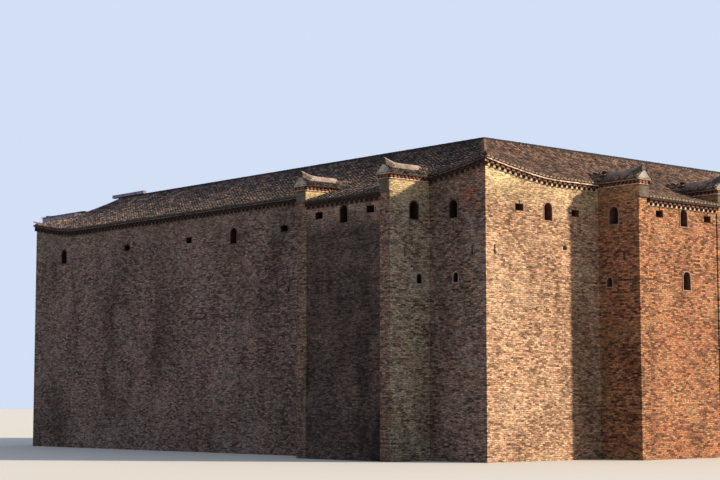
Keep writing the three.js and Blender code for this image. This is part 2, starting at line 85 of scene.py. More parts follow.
# Clay tiles: rows side by side, each row a run of half-round covers beside flat pans
TILE_SPACING = real(0.26)
TILE_EXPOSURE = real(0.165)
TILE_LENGTH = real(0.22)
COVER_WIDTH = real(0.19)
COVER_FLATNESS = 0.78
COVER_LIFT = real(0.012)
LOWER_END_LIFT = real(0.03)
LOWER_END_SWELL = 1.12
PAN_THICKNESS = real(0.016)
EAVE_END_DEPTH = real(0.03)
EAVE_END_CLEARANCE = real(0.018)
TILE_MARGIN = real(0.07)
CAP_TILE_SPACING = real(0.2)
CAP_COVER_WIDTH = CAP_TILE_SPACING * 0.7
TILE_SWAY = 0.09
TILE_DRIFT = real(0.02)
DRIFT_UP_SHARE = 0.3
RIDGE_GAP = real(0.03)
GABLE_GAP = real(0.1)
TOWER_TILES_FROM = real(0.06)
BROKEN_TILE_SWAY = 0.5
BROKEN_TILE_DRIFT = real(0.05)

# Ridges of tiles stood on edge, and mortar beads over the hips
RIDGE_TILE_SPACING = real(0.075)
RIDGE_TILE = (real(0.3), real(0.03), real(0.16))
RIDGE_TILE_DROP = real(0.07)
RIDGE_TILE_LEAN = math.radians(22)
RIDGE_TILE_TOP = 0.62
RIDGE_TILE_SWAY = 0.07
SMALL_DRIFT = real(0.01)
RAISED_END_BOTTOM = real(16.4)
HIP_WIDTH = real(0.4)
HIP_HEIGHT = real(0.16)
HIP_STATIONS = 14
HIP_SINK = real(0.02)
HIP_TIP_SHARE = 0.45
HORN_RISE = real(0.2)
HORN_LENGTH = real(0.34)
HORN_START = HORN_LENGTH * 0.7
SLIM_LENGTH = HORN_LENGTH * 3

# Corbelled brick cornice, as (row, out, drop, height): two rows of dark teeth, painted shade on their
# shaded faces, before two plain courses
TOOTH_SPACING = real(0.37)
TOOTH_SIDE = real(0.18)
TOOTH_SWAY = 0.05
TOOTH_WEAR = 0.08
ROWS_OF_TEETH = (
    ("upper", real(0.185), SLAB + real(0.015), real(0.14)),
    ("lower", real(0.17), SLAB + real(0.165), real(0.145)),
)
BACKING_COURSES = (
    ("upper", real(0.105), SLAB + real(0.01), real(0.15)),
    ("lower", real(0.056), SLAB + real(0.155), real(0.165)),
)
CORNICE_GAP = real(0.04)
LIME_EDGE_FROM = real(0.05)
LIME_EDGE_DROP = real(0.045)
LIME_EDGE_HEIGHT = real(0.05)
LIME_COURSE_DROP = SLAB + real(0.315)
LIME_COURSE_HEIGHT = real(0.035)
LIME_COURSE_REACH = (real(-0.05), real(0.02))
STRIP_STEP = real(0.13)
LIME_SPILL = real(0.008)
UNEVEN = real(0.012)

# Gable walls of the towers, with their tiled caps
CAP_BASE = real(13.9)
PARAPET_TOP = real(15.36)
CAP_HALF_WIDTH = real(0.58)
CAP_REACH = TOWER_REACH + real(0.06)
CAP_INWARD = real(2.75)
CAP_SHOULDER = real(0.43)
CAP_TILES_FROM = real(0.27)
BROKEN_HALF_WIDTH = real(0.42)
BROKEN_OVERLAP = real(0.05)
BROKEN_TILES = (6, 18)
CAP_FRONT_TOP = 0.14
CAP_FRONT_INSET = real(0.06)
CAP_FRONT_FOOT = real(0.04)
CAP_FRONT_BACK = real(0.02)
CAP_FRONT_OUT = real(0.03)
WORN_EDGE = real(0.008)
CAP_RIDGE_SIDES = 14
CAP_RIDGE_RADIUS = real(0.15)
CAP_RIDGE_SPLIT = real(0.02)
CAP_RIDGE_LEG = real(0.13)
CAP_RIDGE_INNER = real(0.35)
TIP_START = real(1.6)
TIP_RISE = real(0.22)
TIP_SLIMMER = 0.5
TIP_STATIONS = 8
CORBEL_OUT = real(0.05)
DRIP_COURSES = ((real(-0.03), real(0.06)), (real(-0.26), real(0.015)))
DRIP_HEIGHT = real(0.04)
BAND_OUT = real(0.004)
SMALL_TOOTH_SPACING = real(0.25)
SMALL_TOOTH_SIDE = real(0.1)
SMALL_TOOTH_HEIGHT = real(0.07)
SMALL_TOOTH_SWAY = 0.16
SMALL_TOOTH_DRIFT = real(0.016)
SMALL_TEETH = (real(-0.05), real(-0.15))
SMALL_TEETH_FROM = real(0.1)
PIER_HEAD_TOP = real(13.65)
PIER_HEAD_HEIGHT = real(0.64)
PIER_HEAD_BACK = real(0.1)
PIER_SHAFT_INSET = real(0.01)
PIER_SHAFT_OUT = real(0.06)
PIER_LEDGE_SPREAD = real(0.03)
PIER_LEDGE_OUT = real(0.1)
PIER_LEDGE = real(0.045)

# Openings as (width, height, sill). The holes of a side are the places of its arches, small arches and
# gun holes, in metres of the real wall from its first corner
ARCH = (real(0.58), real(0.9), real(11.74))
LOW_ARCH = (real(0.6), real(0.95), real(8.5))
SMALL_ARCH = (real(0.34), real(0.5), real(8.6))
GATE = (real(1.7), real(2.8), 0)
GUN_HOLE = (real(0.58), real(0.36), real(12.08))
LONG_SIDE_HOLES = ((2.19, 19.86, 38), (2.04,), (15.3, 24.2, 30.7))
HOLES = {
    "west": LONG_SIDE_HOLES,
    "north": ((13.2, 20.5, 27.8), (16.9,), (10.8, 16.9, 24.2)),
    "east": LONG_SIDE_HOLES,
    "south": ((4.4, 11.9, 27.43), (), (8.2, 14.6, 25.4, 29.47)),
}
TOWER_GUN_HOLES = (real(1.49), real(5.4))
RIM_WIDTH = real(0.05)
RIM_DEPTH = real(0.05)
LINING = real(0.025)
LINING_DEPTH = real(0.6)
LINING_INSET = real(0.02)
SILL_OUT = 0.8
GATE_RIM_WIDTH = real(0.24)
GATE_RIM_DEPTH = real(0.1)
ARC_STEPS = 10
TOWER_ARCH = real(3.46)
GABLE_ARCH_OUT = real(1.03)
GABLE_SMALL_ARCH_OUT = real(0.7)
GATE_ALONG = real(20.75)
SOUTH_LOW_ARCH = real(3.3)

COURT_BAY = real(5.2)
FLOOR_TOPS = (real(4.2), real(7.5), real(10.8))
COURT_DOOR = (real(1.2), real(2.2))
COURT_WINDOW = (real(1), real(1.2))
COURT_SILL = real(1)
TIMBER = real(0.1)
TIMBER_WEAR = TIMBER / 12
TIMBER_INSET = real(0.08)
TIMBER_PROUD = real(0.02)
SILL_TIMBER = TIMBER * 0.8
WINDOW_BAR = real(0.035)
WINDOW_BARS = 5
LINTEL_HEIGHT = real(0.14)
LINTEL_END = real(0.2)

# Brickwork. Bricks of 0.26 by 0.07 m are finer than the picture shows, so the courses are drawn at 0.1 m
BRICK_LENGTH = real(0.27)
BRICK_COURSE = real(0.1)
BRICK_JOINT = real(0.022)
FRONT_FACES = (SHORT_HALF + TOWER_REACH - real(0.01), LONG_HALF + TOWER_REACH - real(0.01))
BRICK_TONES_AT = (0.26, 0.4, 0.5, 0.6, 0.74)
COURSE_SAG = real(0.24)
CROWN_HEIGHT = real(1.5)
RUST_SPREAD = (real(0.5), real(1.5))
RUST_PLACE = (-SHORT_HALF, real(0.8) - LONG_HALF, real(13.2))
BRICK_RELIEF = 0.014
RELIEF_STRENGTH = 0.8
PIT_SHADOW = "#15100d"
RUST = "#8f4c30"
# Dark grey over the gable walls above the cap's foot: painted shade under the cap tiles
UNDER_CAP_SHADE = ((CAP_BASE, "#4b443e"),)
# Patterns by the real size of one feature, in metres: along a wall, then up it where that differs
COURSE_WANDER = 2.857
STREAK = (0.8333, 0.07692)
WEATHER_CLOUD = 4.444
DAMP_RUN = (2.5, 7.353)
BLOOM_PATCH = 1.818
PIT = 0.7692
BRICK_GRAIN = (0.1667, 0.04762)
SOOT_CLOUD = 4
LICHEN_SPECK = 0.14286
MORTAR_CLOUD = 0.66667
FIR_GRAIN = (0.05556, 0.625)


# Materials
def linear(hex_colour):
    """An sRGB hex colour as linear red, green, blue and alpha."""
    channels = [int(hex_colour[i:i + 2], 16) / 255 for i in (1, 3, 5)]
    return tuple(c / 12.92 if c <= 0.04045 else ((c + 0.055) / 1.055) ** 2.4 for c in channels) + (1,)


def node(tree, kind, inputs=None, stops=(), **settings):
    """Adds a node and sets it. A shader node's kind goes without its prefix. Inputs take values, sockets
    or other nodes' first outputs, and a colour ramp takes stops of (place, hex colour)."""
    made = tree.nodes.new(kind if "Node" in kind else "ShaderNode" + kind)
    for key, value in settings.items():
        setattr(made, key, value)
    for key, value in (inputs or {}).items():
        if isinstance(value, bpy.types.Node):
            value = value.outputs[0]
        if isinstance(value, bpy.types.NodeSocket):
            tree.links.new(value, made.inputs[key])
        else:
            made.inputs[key].default_value = value
    if stops:
        elements = made.color_ramp.elements
        while len(elements) < len(stops):
            elements.new(0.5)
        for element, (place, colour) in zip(elements, stops):
            element.position = place
            element.color = linear(colour)
    return made


def counts(level, upright=None):
    """A pattern's scale along each axis: how many features of a real size a metre of the model takes."""
    return (1 / real(level), 1 / real(level), 1 / real(upright or level))


def coat(tree, under, colour, *patterns, mode="MIX"):
    """Lays one colour over another. Each (pattern, low, high, least, most) thins or thickens the coat:
    it covers least where the pattern is low and most where it is high."""
    cover = 1
    for pattern, low, high, least, most in patterns:
        part = node(tree, "MapRange", {
            "Value": pattern, "From Min": low, "From Max": high, "To Min": least, "To Max": most})
        cover = node(tree, "Math", {0: cover, 1: part}, operation="MULTIPLY")
    mixed = node(tree, "Mix", {0: cover, 6: under, 7: linear(colour)},
                 data_type="RGBA", blend_type=mode)
    return mixed.outputs[2]


def mottle(tree, colour, pattern, low, high, darkest, lightest):
    """Darkens a colour where a pattern is low and lightens it where it is high."""
    strength = node(tree, "MapRange", {
        "Value": pattern, "From Min": low, "From Max": high, "To Min": darkest, "To Max": lightest})
    grey = node(tree, "CombineXYZ", {0: strength, 1: strength, 2: strength})
    mixed = node(tree, "Mix", {0: 1, 6: colour, 7: grey}, data_type="RGBA", blend_type="MULTIPLY")
    return mixed.outputs[2]


def new_material(name, roughness, colour):
    """An opaque material, its tree, and the object coordinates that its patterns follow."""
    material = bpy.data.materials.new(name)
    material.use_nodes = True
    material.diffuse_color = linear(colour)
    tree = material.node_tree
    shader = tree.nodes["Principled BSDF"]
    shader.inputs["Roughness"].default_value = roughness
    shader.inputs["IOR"].default_value = 1.5
    shader.inputs["Specular IOR Level"].default_value = 0.2
    return material, tree, node(tree, "TexCoord").outputs["Object"]


def surface(material, colour, height, relief):
    """Gives a material its colour and a relief that stands out by so many metres of the model."""
    tree = material.node_tree
    shader = tree.nodes["Principled BSDF"]
    bump = node(tree, "Bump", {"Height": height, "Distance": relief, "Strength": RELIEF_STRENGTH})
    tree.links.new(bump.outputs[0], shader.inputs["Normal"])
    tree.links.new(colour, shader.inputs["Base Color"])
    return material


def brickwork(name, bricks, joint, damp, damp_share, bloom, bloom_share, crown, crown_share,
              front_tint=None, crown_top=real(13.7), bands=(), rust_place=None):
    """Thin fired bricks in lime joints: each its own tone, the courses weathered in long level streaks,
    damp patches, pale bloom, and a limed or rusty crown under the eaves."""
    material, tree, place = new_material(name, 0.93, bricks[2])
    axes = node(tree, "SeparateXYZ", {0: place})
    along = node(tree, "Math", {0: axes.outputs[0], 1: axes.outputs[1]}, operation="ADD")
    wander = node(tree, "TexNoise", {"Vector": place, "Scale": counts(COURSE_WANDER)[0], "Detail": 2})
    sag = node(tree, "Math", {0: wander, 1: COURSE_SAG}, operation="MULTIPLY")
    height = node(tree, "Math", {0: axes.outputs[2], 1: sag}, operation="ADD")
    face = node(tree, "CombineXYZ", {0: along, 1: height})
    courses = node(tree, "TexBrick", {
        "Vector": face, "Color1": (0, 0, 0, 1), "Color2": (1, 1, 1, 1), "Mortar": (0.5, 0.5, 0.5, 1),
        "Scale": 1, "Mortar Size": BRICK_JOINT / 2, "Mortar Smooth": 0.3, "Bias": 0,
        "Brick Width": BRICK_LENGTH, "Row Height": BRICK_COURSE,
    })
    streaks, clouds, runs, patches, grain = (
        node(tree, "TexNoise", {
            "Vector": node(tree, "Mapping", {"Vector": place, "Scale": scale}),
            "Scale": 1, "Detail": detail, "Roughness": roughness})
        for scale, detail, roughness in (
            (counts(*STREAK), 4, 0.7),
            (counts(WEATHER_CLOUD), 6, 0.62),
            (counts(*DAMP_RUN), 6, 0.6),
            (counts(BLOOM_PATCH), 8, 0.7),
            (counts(*BRICK_GRAIN), 3, 0.7),
        )
    )
    pits = node(tree, "TexVoronoi", {"Vector": place, "Scale": counts(PIT)[0], "Randomness": 1})
    weathered = node(tree, "Mix", {0: 0.45, 2: streaks, 3: clouds})
    tone = node(tree, "Mix", {0: 0.55, 2: courses, 3: weathered})
    broken = node(tree, "Mix", {0: 0.35, 2: patches, 3: streaks})

    colour = node(tree, "ValToRGB", {"Fac": tone}, tuple(zip(BRICK_TONES_AT, bricks)))
    colour = coat(tree, colour, joint, (courses.outputs["Fac"], 0, 1, 0, 0.7))
    colour = coat(tree, colour, damp, (runs, 0.46, 0.66, 0, damp_share), mode="MULTIPLY")
    colour = coat(tree, colour, bloom, (broken, 0.5, 0.66, 0, bloom_share))
    colour = coat(tree, colour, crown, (height, crown_top - CROWN_HEIGHT, crown_top, 0, crown_share),
                  (broken, 0.38, 0.58, 0.15, 1))
    for band_foot, band_colour in bands:
        colour = coat(tree, colour, band_colour, (axes.outputs[2], band_foot - JUST, band_foot, 0, 1))
    if rust_place:
        away = node(tree, "VectorMath", {0: place, 1: rust_place}, operation="DISTANCE")
        colour = coat(tree, colour, RUST, (away.outputs["Value"], *RUST_SPREAD, 0.9, 0),
                      (broken, 0.45, 0.56, 0, 1))
    colour = coat(tree, colour, PIT_SHADOW, (pits, 0.05, 0.1, 0.75, 0))
    colour = mottle(tree, colour, grain, 0.34, 0.66, 0.22, 1.78)
    # A tint over the outer fronts of the towers: the shaded sides' gable brick darkens its fronts with it,
    # painted shade
    if front_tint:
        beyond = []
        for axis, edge in zip((0, 1), FRONT_FACES):
            span = node(tree, "Math", {0: axes.outputs[axis]}, operation="ABSOLUTE")
            beyond.append(node(tree, "Math", {0: span, 1: edge}, operation="GREATER_THAN"))
        on_front = node(tree, "Math", {0: beyond[0], 1: beyond[1]}, operation="MAXIMUM")
        colour = coat(tree, colour, front_tint, (on_front, 0, 1, 0, 1), mode="MULTIPLY")

    proud = node(tree, "Math", {0: courses, 1: 0.5}, operation="MULTIPLY")
    rough_face = node(tree, "Math", {0: proud, 1: grain}, operation="ADD")
    relief = node(tree, "Math", {0: rough_face, 1: courses.outputs["Fac"]}, operation="SUBTRACT")
    return surface(material, colour, relief, BRICK_RELIEF)


def clay_tiles(name, tones, dust, dust_share, south_to_north_tone=None):
    """Grey-fired clay, each tile its own tone, sooty in broad patches, with pale lichen specks.
    The tiles can run darker at the southern end and lighter at the northern one."""
    material, tree, place = new_material(name, 0.88, tones[1][1])
    batch = node(tree, "Attribute", attribute_name="tone")
    cloud = node(tree, "TexNoise", {
        "Vector": place, "Scale": counts(SOOT_CLOUD)[0], "Detail": 6, "Roughness": 0.7})
    tone = node(tree, "Mix", {0: 0.55, 2: batch.outputs["Fac"], 3: cloud})
    fired = node(tree, "ValToRGB", {"Fac": tone}, tones)
    specks = node(tree, "TexNoise", {
        "Vector": place, "Scale": counts(LICHEN_SPECK)[0], "Detail": 5, "Roughness": 0.75})
    colour = coat(tree, fired, dust, (specks, 0.54, 0.66, 0, dust_share))
    if south_to_north_tone:
        northward = node(tree, "SeparateXYZ", {0: place}).outputs[1]
        colour = mottle(tree, colour, northward, -LONG_HALF, LONG_HALF, *south_to_north_tone)
    return surface(material, colour, specks, 0.006)


def mineral(name, light, dark, roughness, scale, relief, level=1):
    """Lime or clay laid by hand: two tones in clouds, drawn out level where asked, with a fine grain.
    So many clouds and nine times as many grains go into a metre of the model."""
    material, tree, place = new_material(name, roughness, light)
    drawn = node(tree, "Mapping", {"Vector": place, "Scale": (1, 1, level)})
    cloud = node(tree, "TexNoise", {"Vector": drawn, "Scale": scale, "Detail": 6, "Roughness": 0.65})
    grain = node(tree, "TexNoise", {"Vector": drawn, "Scale": scale * 9, "Detail": 4})
    both = node(tree, "Mix", {0: 0.35, 2: cloud, 3: grain})
    colour = node(tree, "ValToRGB", {"Fac": both}, ((0.38, dark), (0.6, light)))
    return surface(material, colour.outputs[0], both, relief)


def stacked_ridge(name, clay, lime):
    """Old tiles bedded in sooty mortar, with a lime-plastered bar above them at the northern ends."""
    material, tree, place = new_material(name, 0.92, clay)
    height = node(tree, "SeparateXYZ", {0: place}).outputs[2]
    cloud = node(tree, "TexNoise", {
        "Vector": place, "Scale": counts(MORTAR_CLOUD)[0], "Detail": 7, "Roughness": 0.7})
    raised = RAISED_END_BOTTOM - real(0.06)
    colour = coat(tree, linear(clay), lime, (height, raised, raised + JUST, 0, 1))
    colour = mottle(tree, colour, cloud, 0.35, 0.65, 0.55, 1.3)
    return surface(material, colour, cloud, 0.01)


def timber(name, light, dark):
    """Sawn fir gone grey: long grain along the height with darker knots and checks."""
    material, tree, place = new_material(name, 0.78, light)
    drawn = node(tree, "Mapping", {"Vector": place, "Scale": counts(*FIR_GRAIN)})
    grain = node(tree, "TexNoise", {"Vector": drawn, "Scale": 1, "Detail": 6, "Roughness": 0.6})
    colour = node(tree, "ValToRGB", {"Fac": grain}, ((0.35, dark), (0.65, light)))
    return surface(material, colour.outputs[0], grain, 0.004)


# Brick of the sunny sides: straw and peach, partly bleached by the sun and partly lighter as painted
# sunlight, with a pale yellow limed crown
SUNNY_BRICK = brickwork(
    "fired_brick_sun_bleached",
    ("#543e2c", "#735744", "#8e7058", "#a4866a", "#895f4e"),
    "#6c5a48", "#846d62", 0.5, "#ab957b", 0.55, "#b0a179", 0.8,
)
# The towers of the sunny sides: the same brick, redder, and darker than the sunny walls as painted shadow
# of trees
RED_TOWER_BRICK = brickwork(
    "fired_brick_reddened",
    ("#3a2517", "#643f2b", "#7d5740", "#946b4c", "#85452c"),
    "#5f4636", "#7d6350", 0.5, "#967a57", 0.5, "#8c6f4c", 0.6, bands=UNDER_CAP_SHADE,
)
# Rain-washed brick of the shaded sides: grey brown and darker than the sunny sides' brick as painted shade,
# with soft damp runs and dull lime patches
SHADED_SIDE_TONES = (
    ("#32241e", "#524138", "#655348", "#7d695d", "#644437"),
    "#4d4440", "#74615c", 0.6, "#80756e", 0.5, "#726155", 0.5,
)
SHADED_BRICK = brickwork("fired_brick_rain_washed", *SHADED_SIDE_TONES, rust_place=RUST_PLACE)
# The tower fronts stay damp between their piers: darker, nearly black runs
DAMP_BRICK = brickwork(
    "fired_brick_damp",
    ("#1e1511", "#2f2420", "#3c302b", "#4c3e38", "#422b22"),
    "#3b332f", "#584a47", 0.9, "#75675f", 0.4, "#a08576", 0.88, crown_top=real(12.9),
)
# The tower's gable walls of the shaded sides: greenish grey and lighter than the walls as painted skylight
# on their side faces, their fronts warmer and darker as painted shade
SKYLIT_GABLE_BRICK = brickwork(
    "fired_brick_lichened",
    ("#403529", "#68584b", "#7f705f", "#968874", "#7f5f4b"),
    "#5d564b", "#7a766f", 0.7, "#919283", 0.5, "#a69167", 0.85, "#d0bfc1", bands=UNDER_CAP_SHADE,
)
# The northern tower's gables, in the shaded sides' darker brick (painted shade), rise to a plastered
# parapet under dark coping tiles
PARAPET_BRICK = brickwork(
    "fired_brick_with_plastered_parapet", *SHADED_SIDE_TONES,
    bands=((CAP_BASE, "#858292"), (PARAPET_TOP, "#2c2a2e")),
)
# Small bricks of the cornice: red, and limed on the lower row, on the sunny sides, with a dark red copy as
# painted shade on the shaded sides; near-black bricks as painted shade for the teeth and the shaded sides'
# linings, browner ones for the sunny sides' linings
RED_BRICK = mineral("fired_brick_red", "#7b4b38", "#40271d", 0.9, 9, 0.006)
DARK_RED_BRICK = mineral("fired_brick_dark_red", "#3d2a23", "#201612", 0.92, 8, 0.006)
LIMED_BRICK = mineral("limewashed_brick", "#b3a189", "#7a6450", 0.92, 9, 0.006)
PAINTED_SHADE_BRICK = mineral("fired_brick_sooty", "#2e1a12", "#120a07", 0.93, 7, 0.006)
SUNNY_SIDE_LINING_BRICK = mineral("fired_brick_smoked", "#634230", "#352116", 0.93, 8, 0.006)
# Limewash and lime plaster: chalky white gone grey and pinkish
LIMEWASH = mineral("limewash", "#bfb09d", "#8a7868", 0.92, 6, 0.004)
# The shaded sides' copy of the limewash: darker, painted shade
SHADED_SIDE_LIME = mineral("limewash_sooty", "#5e534b", "#2c2420", 0.93, 7, 0.004)
EAVE_LIME = mineral("lime_mortar_at_eaves", "#86725d", "#4b3b2e", 0.93, 9, 0.004)
RIDGE_PLASTER = mineral("lime_plaster_trowelled", "#8b7c74", "#544943", 0.9, 5, 0.012)
GABLE_PLASTER = mineral("lime_plaster_grey", "#8f8a84", "#5f5953", 0.92, 3, 0.008)
# Pier heads: plaster that rain has streaked with soot along the level
PIER_PLASTER = mineral("lime_plaster_sooty", "#5f544a", "#2b241f", 0.92, 4, 0.01, level=5)
# Hips: mortar with much earth in it, brown and lumpy
HIP_MORTAR = mineral("lime_mortar_earthy", "#66503a", "#3d2d20", 0.94, 5, 0.012)
# Ridges: nearly black between the tiles on edge, pale plaster on the raised ends
RIDGE_STACK = stacked_ridge("ridge_tiles_and_plaster", "#1f1d1f", "#7a7681")
# Window surrounds: sandstone on the sunny sides and a darker rubbed brick on the shaded sides, partly
# painted shade; smoother and plainer than the wall
SILL_STONE = mineral("sandstone_sill", "#8f7366", "#634b41", 0.85, 8, 0.004)
RIM_BRICK = mineral("fired_brick_rubbed", "#5b4b43", "#352924", 0.9, 8, 0.004)
SMALL_RIM_BRICK = mineral("fired_brick_lime_rubbed", "#8f8075", "#61534a", 0.9, 8, 0.004)
# Roofs: grey-fired tiles, browner and lighter on the sunny sides as painted sunlight and darker on the
# shaded sides as painted shade, on dark boards
ROOF_CLAY = clay_tiles(
    "clay_tile_grey_fired",
    ((0.2, "#29201d"), (0.42, "#45362f"), (0.6, "#624b3e"), (0.82, "#886e5c")), "#9a816c", 0.5,
)
SHADED_CLAY = clay_tiles(
    "clay_tile_black_with_soot",
    ((0.2, "#181516"), (0.42, "#302a29"), (0.6, "#4f413b"), (0.82, "#7e6759")), "#978072", 0.5, (0.5, 1.5),
)
RIDGE_CLAY = clay_tiles(
    "clay_tile_black_fired", ((0.2, "#161516"), (0.8, "#353234")), "#5a5652", 0.3,
)
ROOF_BED = mineral("roof_boards_sooty", "#2e241d", "#140f0c", 0.9, 5, 0.005)
# Fir: grey brown and grainy in the court, yellower under foot
OLD_TIMBER = timber("fir_weathered", "#6d5138", "#3a2a1e")
FLOOR_TIMBER = timber("fir_boards", "#7b6146", "#463323")


# Handling pieces
def only(piece):
    bpy.ops.object.select_all(action="DESELECT")
    piece.select_set(True)
    bpy.context.view_layer.objects.active = piece


def settle(piece):
    """Writes the piece's place, turn and size into its mesh."""
    only(piece)
    bpy.ops.object.transform_apply(location=True, rotation=True, scale=True)
    return piece


def sized(piece, middle, size):
    """Moves a unit piece to its place, brings it to size and writes both into its mesh."""
    piece.location = middle
    piece.scale = size
    return settle(piece)


def to_side(piece, side):
    """Turns a piece that was built facing +Y to its own side of the house."""
    settle(piece)
    piece.rotation_euler.z = side.turn
    return settle(piece)


def modify(piece, kind, **settings):
    only(piece)
    modifier = piece.modifiers.new(kind.title(), kind)
    for key, value in settings.items():
        setattr(modifier, key, value)
    bpy.ops.object.modifier_apply(modifier=modifier.name)
    return piece


def open_up(piece):
    """Opens a piece in edit mode, with all of it selected."""
    only(piece)
    bpy.ops.object.mode_set(mode="EDIT")
    bpy.ops.mesh.select_all(action="SELECT")


def close_up(piece):
    bpy.ops.object.mode_set(mode="OBJECT")
    return piece


def pick(piece, test, faces=False):
    """In edit mode, selects only the vertices or faces that pass the test."""
    bpy.ops.mesh.select_mode(type="FACE" if faces else "VERT")
    bpy.ops.mesh.select_all(action="DESELECT")
    shape = bmesh.from_edit_mesh(piece.data)
    for part in shape.faces if faces else shape.verts:
        part.select = test(part)
    if not faces:
        shape.select_flush(True)
    bmesh.update_edit_mesh(piece.data)


def block(low, high, bevel=0.0):
    """A block between two corners, with its edges worn round."""
    bpy.ops.mesh.primitive_cube_add(size=1)
    middle = [(a + b) / 2 for a, b in zip(low, high)]
    piece = sized(bpy.context.object, middle, [b - a for a, b in zip(low, high)])
    if bevel:
        modify(piece, "BEVEL", width=bevel, segments=1, limit_method="NONE")
    return piece


def uneven(piece, amount, cuts=0, seed=1):
    """Roughs up a piece by hand: finer faces, then every corner a little out of place."""
    open_up(piece)
    if cuts:
        bpy.ops.mesh.subdivide(number_cuts=cuts)
    bpy.ops.transform.vertex_random(offset=amount, uniform=1, normal=0, seed=seed)
    return close_up(piece)


def join(pieces):
    only(pieces[0])
    for piece in pieces:
        piece.select_set(True)
    bpy.ops.object.join()
    return bpy.context.object


def finish_piece(piece, name, material=None):
    """Names a finished piece, gives it its material and slot, and lets it ride on the house."""
    piece.name = piece.data.name = name
    if material:
        piece.data.materials.clear()
        piece.data.materials.append(material)
    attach(piece, "root")
    return piece


def outward(side, share=1):
    return (-math.sin(side.turn) * share, math.cos(side.turn) * share, 0)


def sideways(side, share=1):
    return (math.cos(side.turn) * share, math.sin(side.turn) * share, 0)


def bed(side, target, along, outwards, columns, rows, lower_than=ABOVE_ALL - real(1)):
    """Points over a CAD surface: a grid in the side's frame let down onto it, less what misses it."""
    bpy.ops.mesh.primitive_grid_add(x_subdivisions=columns, y_subdivisions=max(rows, 1), size=1)
    middle = (sum(along) / 2, side.reach + sum(outwards) / 2, ABOVE_ALL)
    sized(bpy.context.object, middle, (along[1] - along[0], outwards[1] - outwards[0], 1))
    piece = to_side(bpy.context.object, side)
    modify(
        piece, "SHRINKWRAP", target=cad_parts[target], wrap_method="PROJECT",
        use_project_z=True, use_negative_direction=True, use_positive_direction=False,
    )
    open_up(piece)
    pick(piece, lambda v: v.co.z > lower_than)
    bpy.ops.mesh.delete(type="VERT")
    if rows == 0:
        bpy.ops.mesh.select_all(action="SELECT")
        bpy.ops.mesh.remove_doubles(threshold=NEAR)
    return close_up(piece)


def line_of_points(side, start, end, gaps):
    """Points at even distances on a level line between two places in the side's frame."""
    reach = [abs(b - a) for a, b in zip(start, end)]
    runs_along = reach[0] > reach[1]
    bpy.ops.mesh.primitive_grid_add(
        x_subdivisions=gaps if runs_along else 1, y_subdivisions=1 if runs_along else gaps, size=1)
    middle = [(a + b) / 2 for a, b in zip(start, end)]
    piece = sized(
        bpy.context.object, (middle[0], middle[1] + side.reach, middle[2]),
        (max(reach[0], JUST), max(reach[1], JUST), 1))
    open_up(piece)
    bpy.ops.mesh.remove_doubles(threshold=NEAR)
    return to_side(close_up(piece), side)


def let_down(piece, drop):
    open_up(piece)
    bpy.ops.transform.translate(value=(0, 0, -drop))
    return close_up(piece)


def lay(points, pattern, facing, lying=False, sway=0.0, drift=0.0, seed=1):
    """Sets a copy of the pattern on every point, facing one way, each a little out of true: upright,
    or lying along the surface."""
    tree = bpy.data.node_groups.new("laying", "GeometryNodeTree")
    tree.interface.new_socket("Points", in_out="INPUT", socket_type="NodeSocketGeometry")
    tree.interface.new_socket("Pieces", in_out="OUTPUT", socket_type="NodeSocketGeometry")
    entry = node(tree, "NodeGroupInput")
    shift = node(tree, "FunctionNodeRandomValue", {
        0: (-drift,) * 3, 1: (drift, drift, drift * DRIFT_UP_SHARE), "Seed": seed},
        data_type="FLOAT_VECTOR")
    moved = node(tree, "GeometryNodeSetPosition", {"Geometry": entry, "Offset": shift})
    turn = node(tree, "FunctionNodeAlignRotationToVector", {
        "Vector": node(tree, "GeometryNodeInputNormal") if lying else (0, 0, 1)}, axis="Z")
    turn = node(tree, "FunctionNodeAlignRotationToVector", {
        "Rotation": turn, "Vector": facing}, axis="Y", pivot_axis="Z")
    tilt = node(tree, "FunctionNodeRandomValue", {
        0: (-sway,) * 3, 1: (sway,) * 3, "Seed": seed + 1}, data_type="FLOAT_VECTOR")
    loose = node(tree, "FunctionNodeRotateRotation", {
        "Rotation": turn, "Rotate By": node(tree, "FunctionNodeEulerToRotation", {0: tilt})},
        rotation_space="LOCAL")
    source = node(tree, "GeometryNodeObjectInfo", {"Object": pattern})
    copies = node(tree, "GeometryNodeInstanceOnPoints", {
        "Points": moved, "Instance": source.outputs["Geometry"], "Rotation": loose})
    tone = node(tree, "FunctionNodeRandomValue", {2: 0.0, 3: 1.0, "Seed": seed + 2}, data_type="FLOAT")
    toned = node(tree, "GeometryNodeStoreNamedAttribute", {
        "Geometry": copies, "Name": "tone", "Value": tone.outputs[1]}, domain="INSTANCE")
    whole = node(tree, "GeometryNodeRealizeInstances", {"Geometry": toned})
    node(tree, "NodeGroupOutput", {0: whole})
    modify(points, "NODES", node_group=tree)
    return points


# Roof tiles
def half_round(width, length, flatness, faces=4):
    """A half-round bar along Y with its flat side down; with 2 faces it is peaked."""
    bpy.ops.mesh.primitive_cylinder_add(
        vertices=2 * faces, radius=width / 2, depth=length, rotation=(QUARTER, 0, 0))
    piece = settle(bpy.context.object)
    open_up(piece)
    bpy.ops.mesh.bisect(plane_co=(0, 0, 0), plane_no=(0, 0, 1), use_fill=True, clear_inner=True)
    bpy.ops.mesh.select_all(action="SELECT")
    bpy.ops.transform.resize(value=(1, 1, flatness), center_override=(0, 0, 0))
    return close_up(piece)


def lift_lower_end(piece, rise, swell=1.0):
    """Raises the end of a tile that lies over the next course."""
    open_up(piece)
    pick(piece, lambda v: v.co.y > 0)
    bpy.ops.transform.resize(value=(swell, 1, swell), center_override=(0, TILE_LENGTH / 2, 0))
    bpy.ops.transform.translate(value=(0, 0, rise))
    close_up(piece)


